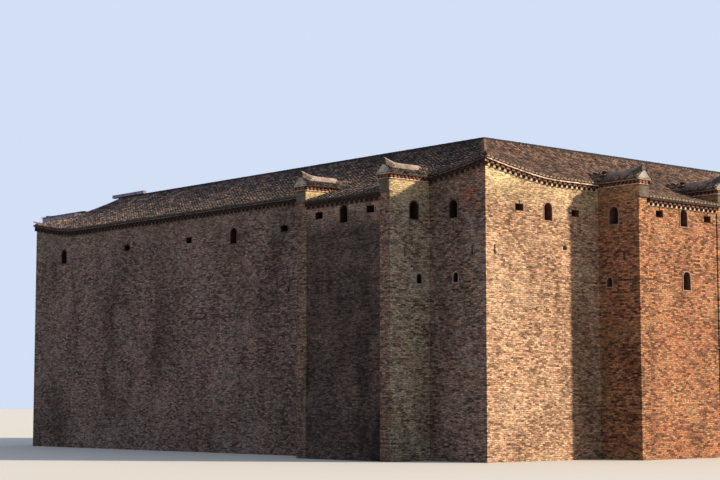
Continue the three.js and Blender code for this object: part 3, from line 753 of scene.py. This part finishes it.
def tile_pair(name, spacing, width):
    """One cover tile and the pan beside it. Their lower ends ride up on the next course."""
    cover = half_round(width, TILE_LENGTH, COVER_FLATNESS)
    lift_lower_end(cover, LOWER_END_LIFT, LOWER_END_SWELL)
    let_down(cover, -COVER_LIFT)
    pan = block(
        (width / 3, -TILE_LENGTH / 2, -PAN_THICKNESS + JUST * 2),
        (spacing - width / 3, TILE_LENGTH / 2, JUST * 2))
    lift_lower_end(pan, PAN_THICKNESS)
    pair = join([cover, pan])
    pair.name = name
    pair.data.materials.append(ROOF_CLAY)
    return pair


def eave_end(width):
    """The lime plug that closes a cover tile at the eave."""
    plug = half_round(width * LOWER_END_SWELL, EAVE_END_DEPTH, COVER_FLATNESS)
    open_up(plug)
    bpy.ops.transform.translate(value=(0, -EAVE_END_DEPTH / 2, LOWER_END_LIFT / 2))
    return close_up(plug)


TILE_PAIR = tile_pair("tile_pair_pattern", TILE_SPACING, COVER_WIDTH)
CAP_TILE_PAIR = tile_pair("cap_tile_pair_pattern", CAP_TILE_SPACING, CAP_COVER_WIDTH)
EAVE_PLUG = eave_end(COVER_WIDTH)


def tower_span(side):
    start = side.tower_start - side.half
    return start, start + TOWER_WIDTH


def roof_clay(side):
    # Lighter, browner tiles on the sunny sides as painted sunlight, darker ones on the shaded sides as
    # painted shade
    return ROOF_CLAY if side.warm else SHADED_CLAY


def tiled_slope(side, slope, along, eave, top, facing):
    """Covers one slope from its eave to its top edge, and closes the covers at the eave with lime."""
    name = f"{side.name}_{slope}"
    columns = round((along[1] - along[0]) / TILE_SPACING)
    down = 1 if eave > top else -1
    lowest = eave - down * (TILE_LENGTH / 2 + TILE_MARGIN)
    rows = round(abs(lowest - top) / TILE_EXPOSURE)
    seed = len(name) + round(abs(side.turn) * 10)
    field = bed(side, name, along, sorted((lowest, top)), columns, rows)
    lay(field, TILE_PAIR, facing, lying=True, sway=TILE_SWAY, drift=TILE_DRIFT, seed=seed)
    finish_piece(field, f"{name}_tiles", roof_clay(side))
    edge = eave - down * EAVE_END_CLEARANCE
    line = bed(side, name, along, (edge - JUST, edge), columns, 0)
    lay(line, EAVE_PLUG, facing, sway=TILE_SWAY, seed=seed)
    # Eave ends of the shaded sides take the darker lime, painted shade
    finish_piece(line, f"{name}_eave_ends", EAVE_LIME if side.warm else SHADED_SIDE_LIME)


for side in SIDES:
    start, end = tower_span(side)
    corner = side.half + EAVE_OUT
    tiled_slope(side, "outer_slope", (-corner, corner), EAVE_OUT, RIDGE_GAP - RIDGE_INSET, outward(side))
    court_eave = -WING_DEPTH - EAVE_OUT
    ridge_end = side.half - RIDGE_INSET
    tiled_slope(side, "court_slope", (-ridge_end, ridge_end), court_eave, -RIDGE_GAP - RIDGE_INSET,
                outward(side, -1))
    between_gables = (start + GABLE_WALL + GABLE_GAP, end - GABLE_WALL - GABLE_GAP)
    tiled_slope(side, "tower_roof", between_gables, TOWER_EAVE_OUT, TOWER_TILES_FROM, outward(side))


# Ridges and hips
def ridge_tile():
    """A tile stood on edge and leaning on its neighbour, as ridges are weighted down."""
    width, thickness, height = RIDGE_TILE
    piece = block((-width / 2, -thickness / 2, -height / 2), (width / 2, thickness / 2, height / 2))
    open_up(piece)
    pick(piece, lambda v: v.co.z > 0)
    bpy.ops.transform.resize(value=(RIDGE_TILE_TOP, 1, 1), center_override=(0, 0, 0))
    close_up(piece).rotation_euler.x = RIDGE_TILE_LEAN
    settle(piece)
    piece.data.materials.append(RIDGE_CLAY)
    return piece


def roof_height(inset):
    """Height of the line where two slopes meet, at an inset from the wall face."""
    up_slope = (inset + EAVE_OUT) / (RIDGE_INSET + EAVE_OUT)
    profile = (1 - ROOF_HOLLOW) * up_slope + ROOF_HOLLOW * up_slope ** 2
    rise = CORNER_RISE * max(0, 1 - inset / CORNER_REACH) ** CORNER_CURVE * (1 - up_slope)
    horn = HORN_RISE * max(0, 1 - (inset + EAVE_OUT) / HORN_LENGTH)
    return EAVE_HEIGHT + (RIDGE_HEIGHT - EAVE_HEIGHT) * profile + rise + horn


def hip_bead(side):
    """The mortar bead over a hip: it follows the roof's hollow and ends in an upturned horn."""
    run = (RIDGE_INSET + EAVE_OUT) * math.sqrt(2)
    bead = half_round(HIP_WIDTH, run, 2 * HIP_HEIGHT / HIP_WIDTH, faces=2)
    open_up(bead)
    places = [run * (i / HIP_STATIONS - 0.5) for i in range(HIP_STATIONS + 1)]
    places.insert(-1, run / 2 - HORN_START)
    for place in places[1:-1]:
        bpy.ops.mesh.select_all(action="SELECT")
        bpy.ops.mesh.bisect(plane_co=(0, place, 0), plane_no=(0, 1, 0))
    for place in places:
        inset = RIDGE_INSET - (place + run / 2) / math.sqrt(2)
        slim = 1 - (1 - HIP_TIP_SHARE) * max(0, 1 - (inset + EAVE_OUT) / SLIM_LENGTH)
        pick(bead, lambda v: abs(v.co.y - place) < JUST)
        bpy.ops.transform.resize(value=(slim, 1, slim), center_override=(0, place, 0))
        bpy.ops.transform.translate(value=(0, 0, roof_height(inset) - HIP_SINK))
    close_up(bead).rotation_euler.z = math.radians(-45)
    middle = (RIDGE_INSET - EAVE_OUT) / 2
    bead.location = (side.half - middle, side.reach - middle, 0)
    settle(bead)
    uneven(bead, UNEVEN, seed=round(side.reach))
    bpy.ops.object.shade_smooth_by_angle(angle=math.radians(25))
    return to_side(bead, side)


RIDGE_TILE_PATTERN = ridge_tile()
for side in SIDES:
    ridge_end = side.half - RIDGE_INSET
    line = bed(
        side, f"{side.name}_ridge", (-ridge_end, ridge_end), (-RIDGE_INSET - JUST, -RIDGE_INSET),
        round(2 * ridge_end / RIDGE_TILE_SPACING), 0, lower_than=RAISED_END_BOTTOM)
    let_down(line, RIDGE_TILE_DROP)
    lay(line, RIDGE_TILE_PATTERN, sideways(side), sway=RIDGE_TILE_SWAY, drift=SMALL_DRIFT, seed=5)
    finish_piece(line, f"{side.name}_ridge_tiles")
    mortar = finish_piece(hip_bead(side), f"{side.hip}_mortar", HIP_MORTAR)
    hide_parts(side.hip)


# Cornices
def tooth(width, height, material):
    """A brick set cornerwise, so that a sharp edge stands out from the wall."""
    piece = block((-width / 2, -width / 2, -height), (width / 2, width / 2, 0), height * TOOTH_WEAR)
    piece.rotation_euler.z = math.radians(45)
    settle(piece)
    piece.data.materials.append(material)
    return piece


def strip(side, target, along, reach, drop, height, spill=0.0):
    """A level course under a roof, between two distances from the wall, spilling a little over the last."""
    columns = round((along[1] - along[0]) / STRIP_STEP)
    course = let_down(bed(side, target, along, reach, columns, 1), drop)
    open_up(course)
    if spill:
        pick(course, lambda v: v.co.dot(Vector(outward(side))) > side.reach + sum(reach) / 2)
        bpy.ops.transform.translate(value=outward(side, spill))
        bpy.ops.mesh.select_all(action="SELECT")
    bpy.ops.mesh.extrude_region_move(TRANSFORM_OT_translate={"value": (0, 0, -height)})
    bpy.ops.mesh.select_all(action="SELECT")
    bpy.ops.mesh.normals_make_consistent(inside=False)
    return close_up(course)


def eave_wash(side):
    # Limewash on the sunny sides, a darker copy as painted shade on the shaded ones
    return LIMEWASH if side.warm else SHADED_SIDE_LIME


def cornice(side, target, along, face, name):
    """Two rows of teeth, dark as painted shade on their shaded faces, a red and a limed course behind them,
    and lime at the wall's top; on the shaded sides the courses and the lime are darker copies, painted
    shade.
    """
    for row, out, drop, height in ROWS_OF_TEETH:
        place = face + out - TOOTH_SIDE / math.sqrt(2)
        shift = TOOTH_SPACING / 2 if row == "lower" else 0
        stretch = (along[0] + shift, along[1] - shift)
        columns = round((stretch[1] - stretch[0]) / TOOTH_SPACING)
        line = let_down(bed(side, target, stretch, (place - JUST, place), columns, 0), drop)
        pattern = tooth(TOOTH_SIDE, height, PAINTED_SHADE_BRICK)
        lay(line, pattern, outward(side), sway=TOOTH_SWAY, drift=SMALL_DRIFT, seed=len(row) + len(name))
        bpy.data.objects.remove(pattern)
        finish_piece(line, f"{name}_{row}_teeth")
    # Backing courses of the shaded sides are darker copies, painted shade
    backings = (RED_BRICK, LIMED_BRICK) if side.warm else (DARK_RED_BRICK, SHADED_SIDE_LIME)
    for (row, out, drop, height), material in zip(BACKING_COURSES, backings):
        course = strip(side, target, along, (face, face + out), drop, height)
        finish_piece(uneven(course, UNEVEN / 6), f"{name}_{row}_backing", material)
    reach = (face + LIME_COURSE_REACH[0], face + LIME_COURSE_REACH[1])
    wall_line = strip(side, target, along, reach, LIME_COURSE_DROP, LIME_COURSE_HEIGHT)
    finish_piece(uneven(wall_line, UNEVEN / 2), f"{name}_lime_course", eave_wash(side))


for side in SIDES:
    start, end = tower_span(side)
    corner = side.half + EAVE_OUT
    slope = f"{side.name}_outer_slope"
    cornice(side, slope, (-corner, corner), 0, f"{side.name}_cornice")
    edge = strip(side, slope, (-corner, corner), (LIME_EDGE_FROM, EAVE_OUT - JUST),
                 LIME_EDGE_DROP, LIME_EDGE_HEIGHT, LIME_SPILL)
    finish_piece(uneven(edge, UNEVEN), f"{side.name}_eave_lime_edge", eave_wash(side))
    between_gables = (start + GABLE_WALL + CORNICE_GAP, end - GABLE_WALL - CORNICE_GAP)
    cornice(side, f"{side.name}_tower_roof", between_gables, TOWER_FACE, f"{side.name}_tower_cornice")


# Gables
def cap_ridge(side, centre):
    """The half-round plaster ridge on a gable, whose outer end sweeps up to a sharp tip."""
    foot = CAP_BASE + CAP_SHOULDER
    reach = CAP_REACH - EAVE_END_CLEARANCE
    length = reach - CAP_RIDGE_INNER
    bpy.ops.mesh.primitive_cylinder_add(
        vertices=CAP_RIDGE_SIDES, radius=CAP_RIDGE_RADIUS, depth=length, rotation=(QUARTER, 0, 0),
        location=(centre, side.reach + reach - length / 2, foot))
    piece = settle(bpy.context.object)
    below_middle = foot - CAP_RIDGE_SPLIT
    open_up(piece)
    pick(piece, lambda v: v.co.z < below_middle)
    bpy.ops.transform.translate(value=(0, 0, -CAP_RIDGE_LEG))
    stations = [side.reach + TIP_START + (reach - TIP_START) * i / TIP_STATIONS
                for i in range(TIP_STATIONS + 1)]
    for station in stations[:-1]:
        bpy.ops.mesh.select_all(action="SELECT")
        bpy.ops.mesh.bisect(plane_co=(0, station, 0), plane_no=(0, 1, 0))
    for i, station in enumerate(stations[1:], 1):
        share = (i / TIP_STATIONS) ** 2
        pick(piece, lambda v: abs(v.co.y - station) < NEAR and v.co.z > below_middle)
        bpy.ops.transform.translate(value=(0, 0, TIP_RISE * share))
        bpy.ops.transform.resize(
            value=(1 - TIP_SLIMMER * share, 1, 1), center_override=(centre, station, foot))
    close_up(piece)
    uneven(piece, UNEVEN / 2, seed=round(abs(centre) * 100))
    bpy.ops.object.shade_smooth_by_angle(angle=math.radians(40))
    return piece


def cap_front(side, centre):
    """The grey plaster that closes the front end of a gable cap: a low trapezium."""
    width = CAP_HALF_WIDTH - CAP_FRONT_INSET
    front = side.reach + CAP_REACH
    piece = block((centre - width, front - CAP_FRONT_BACK, CAP_BASE + CAP_FRONT_FOOT),
                  (centre + width, front + CAP_FRONT_OUT, CAP_BASE + CAP_SHOULDER), WORN_EDGE)
    open_up(piece)
    pick(piece, lambda v: v.co.z > CAP_BASE + CAP_SHOULDER / 2)
    bpy.ops.transform.resize(value=(CAP_FRONT_TOP, 1, 1), center_override=(centre, front, CAP_BASE))
    return uneven(close_up(piece), UNEVEN / 4, cuts=2)


def head_slab(side, left, right, out, low, high):
    """A slab round the three free sides of a gable's head, between two levels from the cap's foot."""
    return block((left - out, side.reach, CAP_BASE + low),
                 (right + out, side.reach + TOWER_REACH + out, CAP_BASE + high))


def gable_lines(side, left, right):
    """Drip courses of limed tile round the three free sides of a gable's head."""
    return join([
        uneven(head_slab(side, left, right, CORBEL_OUT + drip, level, level + DRIP_HEIGHT),
               UNEVEN / 2, cuts=5, seed=3)
        for level, drip in DRIP_COURSES
    ])


def gable_band(side, left, right):
    """The red band behind the small teeth."""
    low, high = SMALL_TEETH[1] - SMALL_TOOTH_HEIGHT, SMALL_TEETH[0]
    band = head_slab(side, left, right, CORBEL_OUT + BAND_OUT, low, high)
    return uneven(band, UNEVEN / 6, cuts=4, seed=4)


def gable_teeth(side, left, right, name):
    """Two rows of small brick teeth under the drip course, on both faces and the front of a gable, dark as
    painted shade.
    """
    pattern = tooth(SMALL_TOOTH_SIDE, SMALL_TOOTH_HEIGHT, PAINTED_SHADE_BRICK)
    rows = []
    inner, outer = SMALL_TEETH_FROM, TOWER_REACH + CORBEL_OUT - SMALL_TOOTH_DRIFT
    for level in SMALL_TEETH:
        height = CAP_BASE + level
        shift = SMALL_TOOTH_SPACING / 2 if level == SMALL_TEETH[0] else 0
        runs = (
            ((left - CORBEL_OUT, inner + shift), (left - CORBEL_OUT, outer), sideways(side, -1)),
            ((right + CORBEL_OUT, inner + shift), (right + CORBEL_OUT, outer), sideways(side)),
            ((left, outer), (right, outer), outward(side)),
        )
        for start, end, facing in runs:
            gaps = round(math.dist(start, end) / SMALL_TOOTH_SPACING)
            line = line_of_points(side, (*start, height), (*end, height), gaps)
            rows.append(lay(line, pattern, facing, sway=SMALL_TOOTH_SWAY,
                            drift=SMALL_TOOTH_DRIFT, seed=len(rows)))
    bpy.data.objects.remove(pattern)
    finish_piece(join(rows), f"{name}_teeth")


def pier_head(side, left, right):
    """The plastered head of the pier at a tower's corner: a shaft between two thin ledges."""
    front = side.reach + TOWER_REACH
    low = PIER_HEAD_TOP - PIER_HEAD_HEIGHT
    shaft = block((left + PIER_SHAFT_INSET, front - PIER_HEAD_BACK, low),
                  (right - PIER_SHAFT_INSET, front + PIER_SHAFT_OUT, PIER_HEAD_TOP), PIER_SHAFT_INSET)
    ledges = [
        block((left - PIER_LEDGE_SPREAD, front - PIER_HEAD_BACK, level),
              (right + PIER_LEDGE_SPREAD, front + PIER_LEDGE_OUT, level + PIER_LEDGE), WORN_EDGE)
        for level in (low - PIER_SHAFT_INSET, PIER_HEAD_TOP - PIER_LEDGE)
    ]
    return uneven(join([shaft, *ledges]), UNEVEN / 4, cuts=1)


def gable_cap(side, left, right, wall, name):
    """The tiled cap of a gable: side tiles, broken tiles inwards, plaster ridge, front, and brick bands."""
    centre = (left + right) / 2
    columns = round((CAP_REACH + CAP_INWARD) / CAP_TILE_SPACING)
    outwards = (-CAP_INWARD, CAP_REACH - CAP_TILE_SPACING / 2)
    fields = []
    for hand in (-1, 1):
        inner = centre + hand * CAP_TILES_FROM
        outer = centre + hand * (CAP_HALF_WIDTH - TILE_LENGTH / 3)
        field = bed(side, wall, sorted((inner, outer)), outwards, 2, columns)
        fields.append(lay(
            field, CAP_TILE_PAIR, sideways(side, hand), lying=True,
            sway=TILE_SWAY, drift=TILE_DRIFT, seed=7 + hand))
    broken = bed(side, wall, (centre - BROKEN_HALF_WIDTH, centre + BROKEN_HALF_WIDTH),
                 (-CAP_INWARD, CAP_RIDGE_INNER + BROKEN_OVERLAP), *BROKEN_TILES)
    fields.append(lay(
        broken, CAP_TILE_PAIR, sideways(side), lying=True,
        sway=BROKEN_TILE_SWAY, drift=BROKEN_TILE_DRIFT, seed=21))
    finish_piece(join(fields), f"{name}_tiles", roof_clay(side))
    for piece, part, slot, material in (
        (cap_ridge(side, centre), "ridge", "lime_plaster", RIDGE_PLASTER),
        (cap_front(side, centre), "front", "lime_plaster", GABLE_PLASTER),
        (gable_lines(side, left, right), "drip_courses", "lime_plaster", LIMEWASH),
        (gable_band(side, left, right), "band", "brickwork", RED_BRICK),
    ):
        finish_piece(to_side(piece, side), f"{name}_{part}", material)
    gable_teeth(side, left, right, name)


for side in SIDES:
    start, end = tower_span(side)
    for which, left in (("first", start), ("second", end - GABLE_WALL)):
        right = left + GABLE_WALL
        name = f"{side.name}_{which}_gable"
        if side.has_caps:
            gable_cap(side, left, right, f"{side.name}_tower_gable_{which}", name)
        head = to_side(pier_head(side, left, right), side)
        finish_piece(head, f"{name}_pier_head", PIER_PLASTER)


# Surrounds of the arched openings
def arch_rim(opening, rim=RIM_WIDTH, depth=RIM_DEPTH, has_sill=True):
    """A band round an arched opening: up one side, over the arch and down the other, on a sill."""
    width, height, sill = opening
    radius = width / 2
    spring = sill + height - radius
    bpy.ops.mesh.primitive_plane_add(size=1)
    band = sized(bpy.context.object, (radius + rim / 2, 0, sill), (rim, depth, 1))
    open_up(band)
    bpy.ops.mesh.extrude_region_move(TRANSFORM_OT_translate={"value": (0, 0, spring - sill)})
    bpy.ops.mesh.spin(steps=ARC_STEPS, angle=math.pi, center=(0, 0, spring), axis=(0, 1, 0))
    bpy.ops.mesh.extrude_region_move(TRANSFORM_OT_translate={"value": (0, 0, sill - spring)})
    bpy.ops.mesh.select_all(action="SELECT")
    bpy.ops.mesh.remove_doubles(threshold=JUST / 10)
    bpy.ops.mesh.normals_make_consistent(inside=False)
    close_up(band)
    if not has_sill:
        return band
    ledge = block((-radius - rim * 2, -depth / 2, sill - rim),
                  (radius + rim * 2, depth * SILL_OUT, sill), rim / 8)
    return join([band, ledge])


def arch_lining(opening):
    """Dark bricks that line an arched opening behind its rim: painted shade inside the opening."""
    width, height, sill = opening
    clear = (width - 2 * LINING, height - LINING, sill)
    band = arch_rim(clear, LINING - JUST, LINING_DEPTH, has_sill=False)
    bottom = block((JUST - width / 2, -LINING_DEPTH / 2, sill),
                   (width / 2 - JUST, LINING_DEPTH / 2, sill + LINING))
    lining = join([band, bottom])
    lining.location.y = -LINING_DEPTH / 2 - LINING_INSET
    return settle(lining)


def hole_lining(opening):
    """The same dark bricks inside a square gun hole: painted shade."""
    width, height, sill = opening
    tube = block((JUST - width / 2, -LINING_DEPTH, sill + JUST),
                 (width / 2 - JUST, -LINING_INSET, sill + height - JUST))
    open_up(tube)
    pick(tube, lambda face: abs(face.normal.y) > 0.9, faces=True)
    bpy.ops.mesh.delete(type="FACE")
    return modify(close_up(tube), "SOLIDIFY", thickness=LINING, offset=-1)


def gate_rim(opening):
    """The wider band round the gateway, which has no sill."""
    return arch_rim(opening, GATE_RIM_WIDTH, GATE_RIM_DEPTH, has_sill=False)


def set_around(side, build, opening, places, name, material):
    """Copies of a built piece at places given as along, out and a turn away from the side's own front."""
    made = []
    for along, out, turn in places:
        piece = build(opening)
        piece.rotation_euler.z = turn
        piece.location = (along - side.half, side.reach + out, 0)
        made.append(to_side(piece, side))
    finish_piece(join(made), name, material)


for side in SIDES:
    start, end = (x + side.half for x in tower_span(side))
    # Surrounds: sandstone on the sunny sides, a darker rubbed brick on the shaded sides, partly painted
    # shade
    rim = SILL_STONE if side.warm else RIM_BRICK
    # Linings: dark as painted shade inside the openings, a little lighter on the sunny sides
    lining = SUNNY_SIDE_LINING_BRICK if side.warm else PAINTED_SHADE_BRICK
    tall, small, gun_holes = (
        [(real(along), 0, 0) for along in places] for places in HOLES[side.name])
    tall += [(start + TOWER_ARCH, TOWER_FACE, 0)]
    tall += [(start, GABLE_ARCH_OUT, QUARTER), (end, GABLE_ARCH_OUT, -QUARTER)]
    small += [(start, GABLE_SMALL_ARCH_OUT, QUARTER), (end, GABLE_SMALL_ARCH_OUT, -QUARTER)]
    gun_holes += [(start + along, TOWER_FACE, 0) for along in TOWER_GUN_HOLES]
    low = [(start + SOUTH_LOW_ARCH, TOWER_FACE, 0)] if side.name == "south" else []
    for part, build, opening, places, material in (
        ("window_surrounds", arch_rim, ARCH, tall, rim),
        ("window_linings", arch_lining, ARCH, tall, lining),
        ("small_arch_surrounds", arch_rim, SMALL_ARCH, small, SMALL_RIM_BRICK),
        ("small_arch_linings", arch_lining, SMALL_ARCH, small, lining),
        ("gun_hole_linings", hole_lining, GUN_HOLE, gun_holes, lining),
        ("lower_window_surround", arch_rim, LOW_ARCH, low, rim),
        ("lower_window_lining", arch_lining, LOW_ARCH, low, lining),
    ):
        if places:
            set_around(side, build, opening, places, f"{side.name}_{part}", material)
    if side.name == "east":
        set_around(side, gate_rim, GATE, [(GATE_ALONG, 0, 0)], "gateway_surround", rim)


# Timber in the court's openings
def timber_frame(opening, bars):
    """Jambs, head and lintel of a court opening, with upright bars and a sill in a window."""
    width, height = opening
    half = width / 2
    front, back = TIMBER / 2, -TIMBER / 2
    lintel_end, lintel_front = half + LINTEL_END, TIMBER_INSET + TIMBER_PROUD
    timbers = [
        ((-half, back, 0), (-half + TIMBER, front, height)),
        ((half - TIMBER, back, 0), (half, front, height)),
        ((-half, back, height - TIMBER), (half, front, height)),
        ((-lintel_end, back, height), (lintel_end, lintel_front, height + LINTEL_HEIGHT)),
    ]
    if bars:
        timbers.append(((-half, back, 0), (half, front + TIMBER_PROUD, SILL_TIMBER)))
    parts = [block(low, high, TIMBER_WEAR) for low, high in timbers]
    for i in range(bars):
        x = half * (2 * (i + 1) / (bars + 1) - 1)
        parts.append(block((x - WINDOW_BAR / 2, -WINDOW_BAR / 2, 0),
                           (x + WINDOW_BAR / 2, WINDOW_BAR / 2, height)))
    piece = join(parts)
    piece.data.materials.append(OLD_TIMBER)
    return piece


for side in SIDES:
    clear = 2 * (side.half - WING_DEPTH)
    bays = round(clear / COURT_BAY)
    first = clear * (0.5 / bays - 0.5)
    out = -WING_DEPTH + TIMBER_INSET
    levels = [(0, COURT_DOOR, 0)] + [(top + COURT_SILL, COURT_WINDOW, WINDOW_BARS) for top in FLOOR_TOPS]
    rows = []
    for height, opening, bars in levels:
        pattern = timber_frame(opening, bars)
        line = line_of_points(side, (first, out, height), (-first, out, height), bays - 1)
        rows.append(lay(line, pattern, outward(side, -1), seed=2))
        bpy.data.objects.remove(pattern)
    finish_piece(join(rows), f"{side.name}_court_timber")

for pattern in (TILE_PAIR, CAP_TILE_PAIR, EAVE_PLUG, RIDGE_TILE_PATTERN):
    bpy.data.objects.remove(pattern)


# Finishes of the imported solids
def dress(name, material):
    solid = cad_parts[name]
    solid.data.materials.clear()
    solid.data.materials.append(material)


for side in SIDES:
    # Walls and gables of the sunny sides take the lighter brick, painted sunlight; those of the shaded
    # sides take the darker brick, painted shade
    wall = SUNNY_BRICK if side.warm else SHADED_BRICK
    gable = RED_TOWER_BRICK if side.warm else SKYLIT_GABLE_BRICK if side.has_caps else PARAPET_BRICK
    for part, material in (
        ("wall_first", wall), ("wall_second", wall), ("court_wall", wall),
        ("tower_front", RED_TOWER_BRICK if side.warm else DAMP_BRICK),
        ("tower_gable_first", gable), ("tower_gable_second", gable),
        ("outer_slope", ROOF_BED), ("court_slope", ROOF_BED), ("tower_roof", ROOF_BED),
        ("ridge", RIDGE_STACK),
    ):
        dress(f"{side.name}_{part}", material)
for storey in ("second", "third", "top"):
    dress(f"{storey}_storey_floor", FLOOR_TIMBER)


# Stage, light and camera
GROUND_SIDE = 600
SKY = "#d3dff5"
SUN_HEIGHT = math.radians(24.5)
SUN_BEARING = Vector((0.635, -0.773))
SUN_STRENGTH = 10
SUN_WIDTH = math.radians(3)
CAMERA_PLACE = (-36.305, -38.14, 1.4)
CAMERA_PITCH = math.radians(5.559)
CAMERA_YAW = math.radians(48.716)
LENS = 83.73
SENSOR = 36

bpy.ops.mesh.primitive_plane_add(size=GROUND_SIDE)
ground = bpy.context.object
ground.name = "studio_floor"
paper = bpy.data.materials.new("studio_floor_pale")
paper.use_nodes = True
paper_inputs = paper.node_tree.nodes["Principled BSDF"].inputs
paper_inputs["Base Color"].default_value = linear("#a8a59f")
paper_inputs["Roughness"].default_value = 0.9
ground.data.materials.append(paper)

world = bpy.data.worlds.new("studio")
bpy.context.scene.world = world
world.use_nodes = True
sky = world.node_tree.nodes["Background"].inputs
sky["Color"].default_value = linear(SKY)
sky["Strength"].default_value = 1

sun = bpy.data.lights.new("low_sun", "SUN")
sun.energy = SUN_STRENGTH
sun.angle = SUN_WIDTH
sun.color = linear("#ffedd2")[:3]
lamp = bpy.data.objects.new("low_sun", sun)
bpy.context.scene.collection.objects.link(lamp)
to_sun = Vector((*(SUN_BEARING.normalized() * math.cos(SUN_HEIGHT)), math.sin(SUN_HEIGHT)))
lamp.rotation_euler = to_sun.to_track_quat("Z", "Y").to_euler()

camera = bpy.data.objects.new("camera", bpy.data.cameras.new("camera"))
camera.data.lens = LENS
camera.data.sensor_width = SENSOR
camera.location = CAMERA_PLACE
camera.rotation_euler = (QUARTER + CAMERA_PITCH, 0, CAMERA_YAW - QUARTER)
bpy.context.scene.collection.objects.link(camera)
bpy.context.scene.camera = camera
bpy.context.scene.view_settings.view_transform = "Standard"
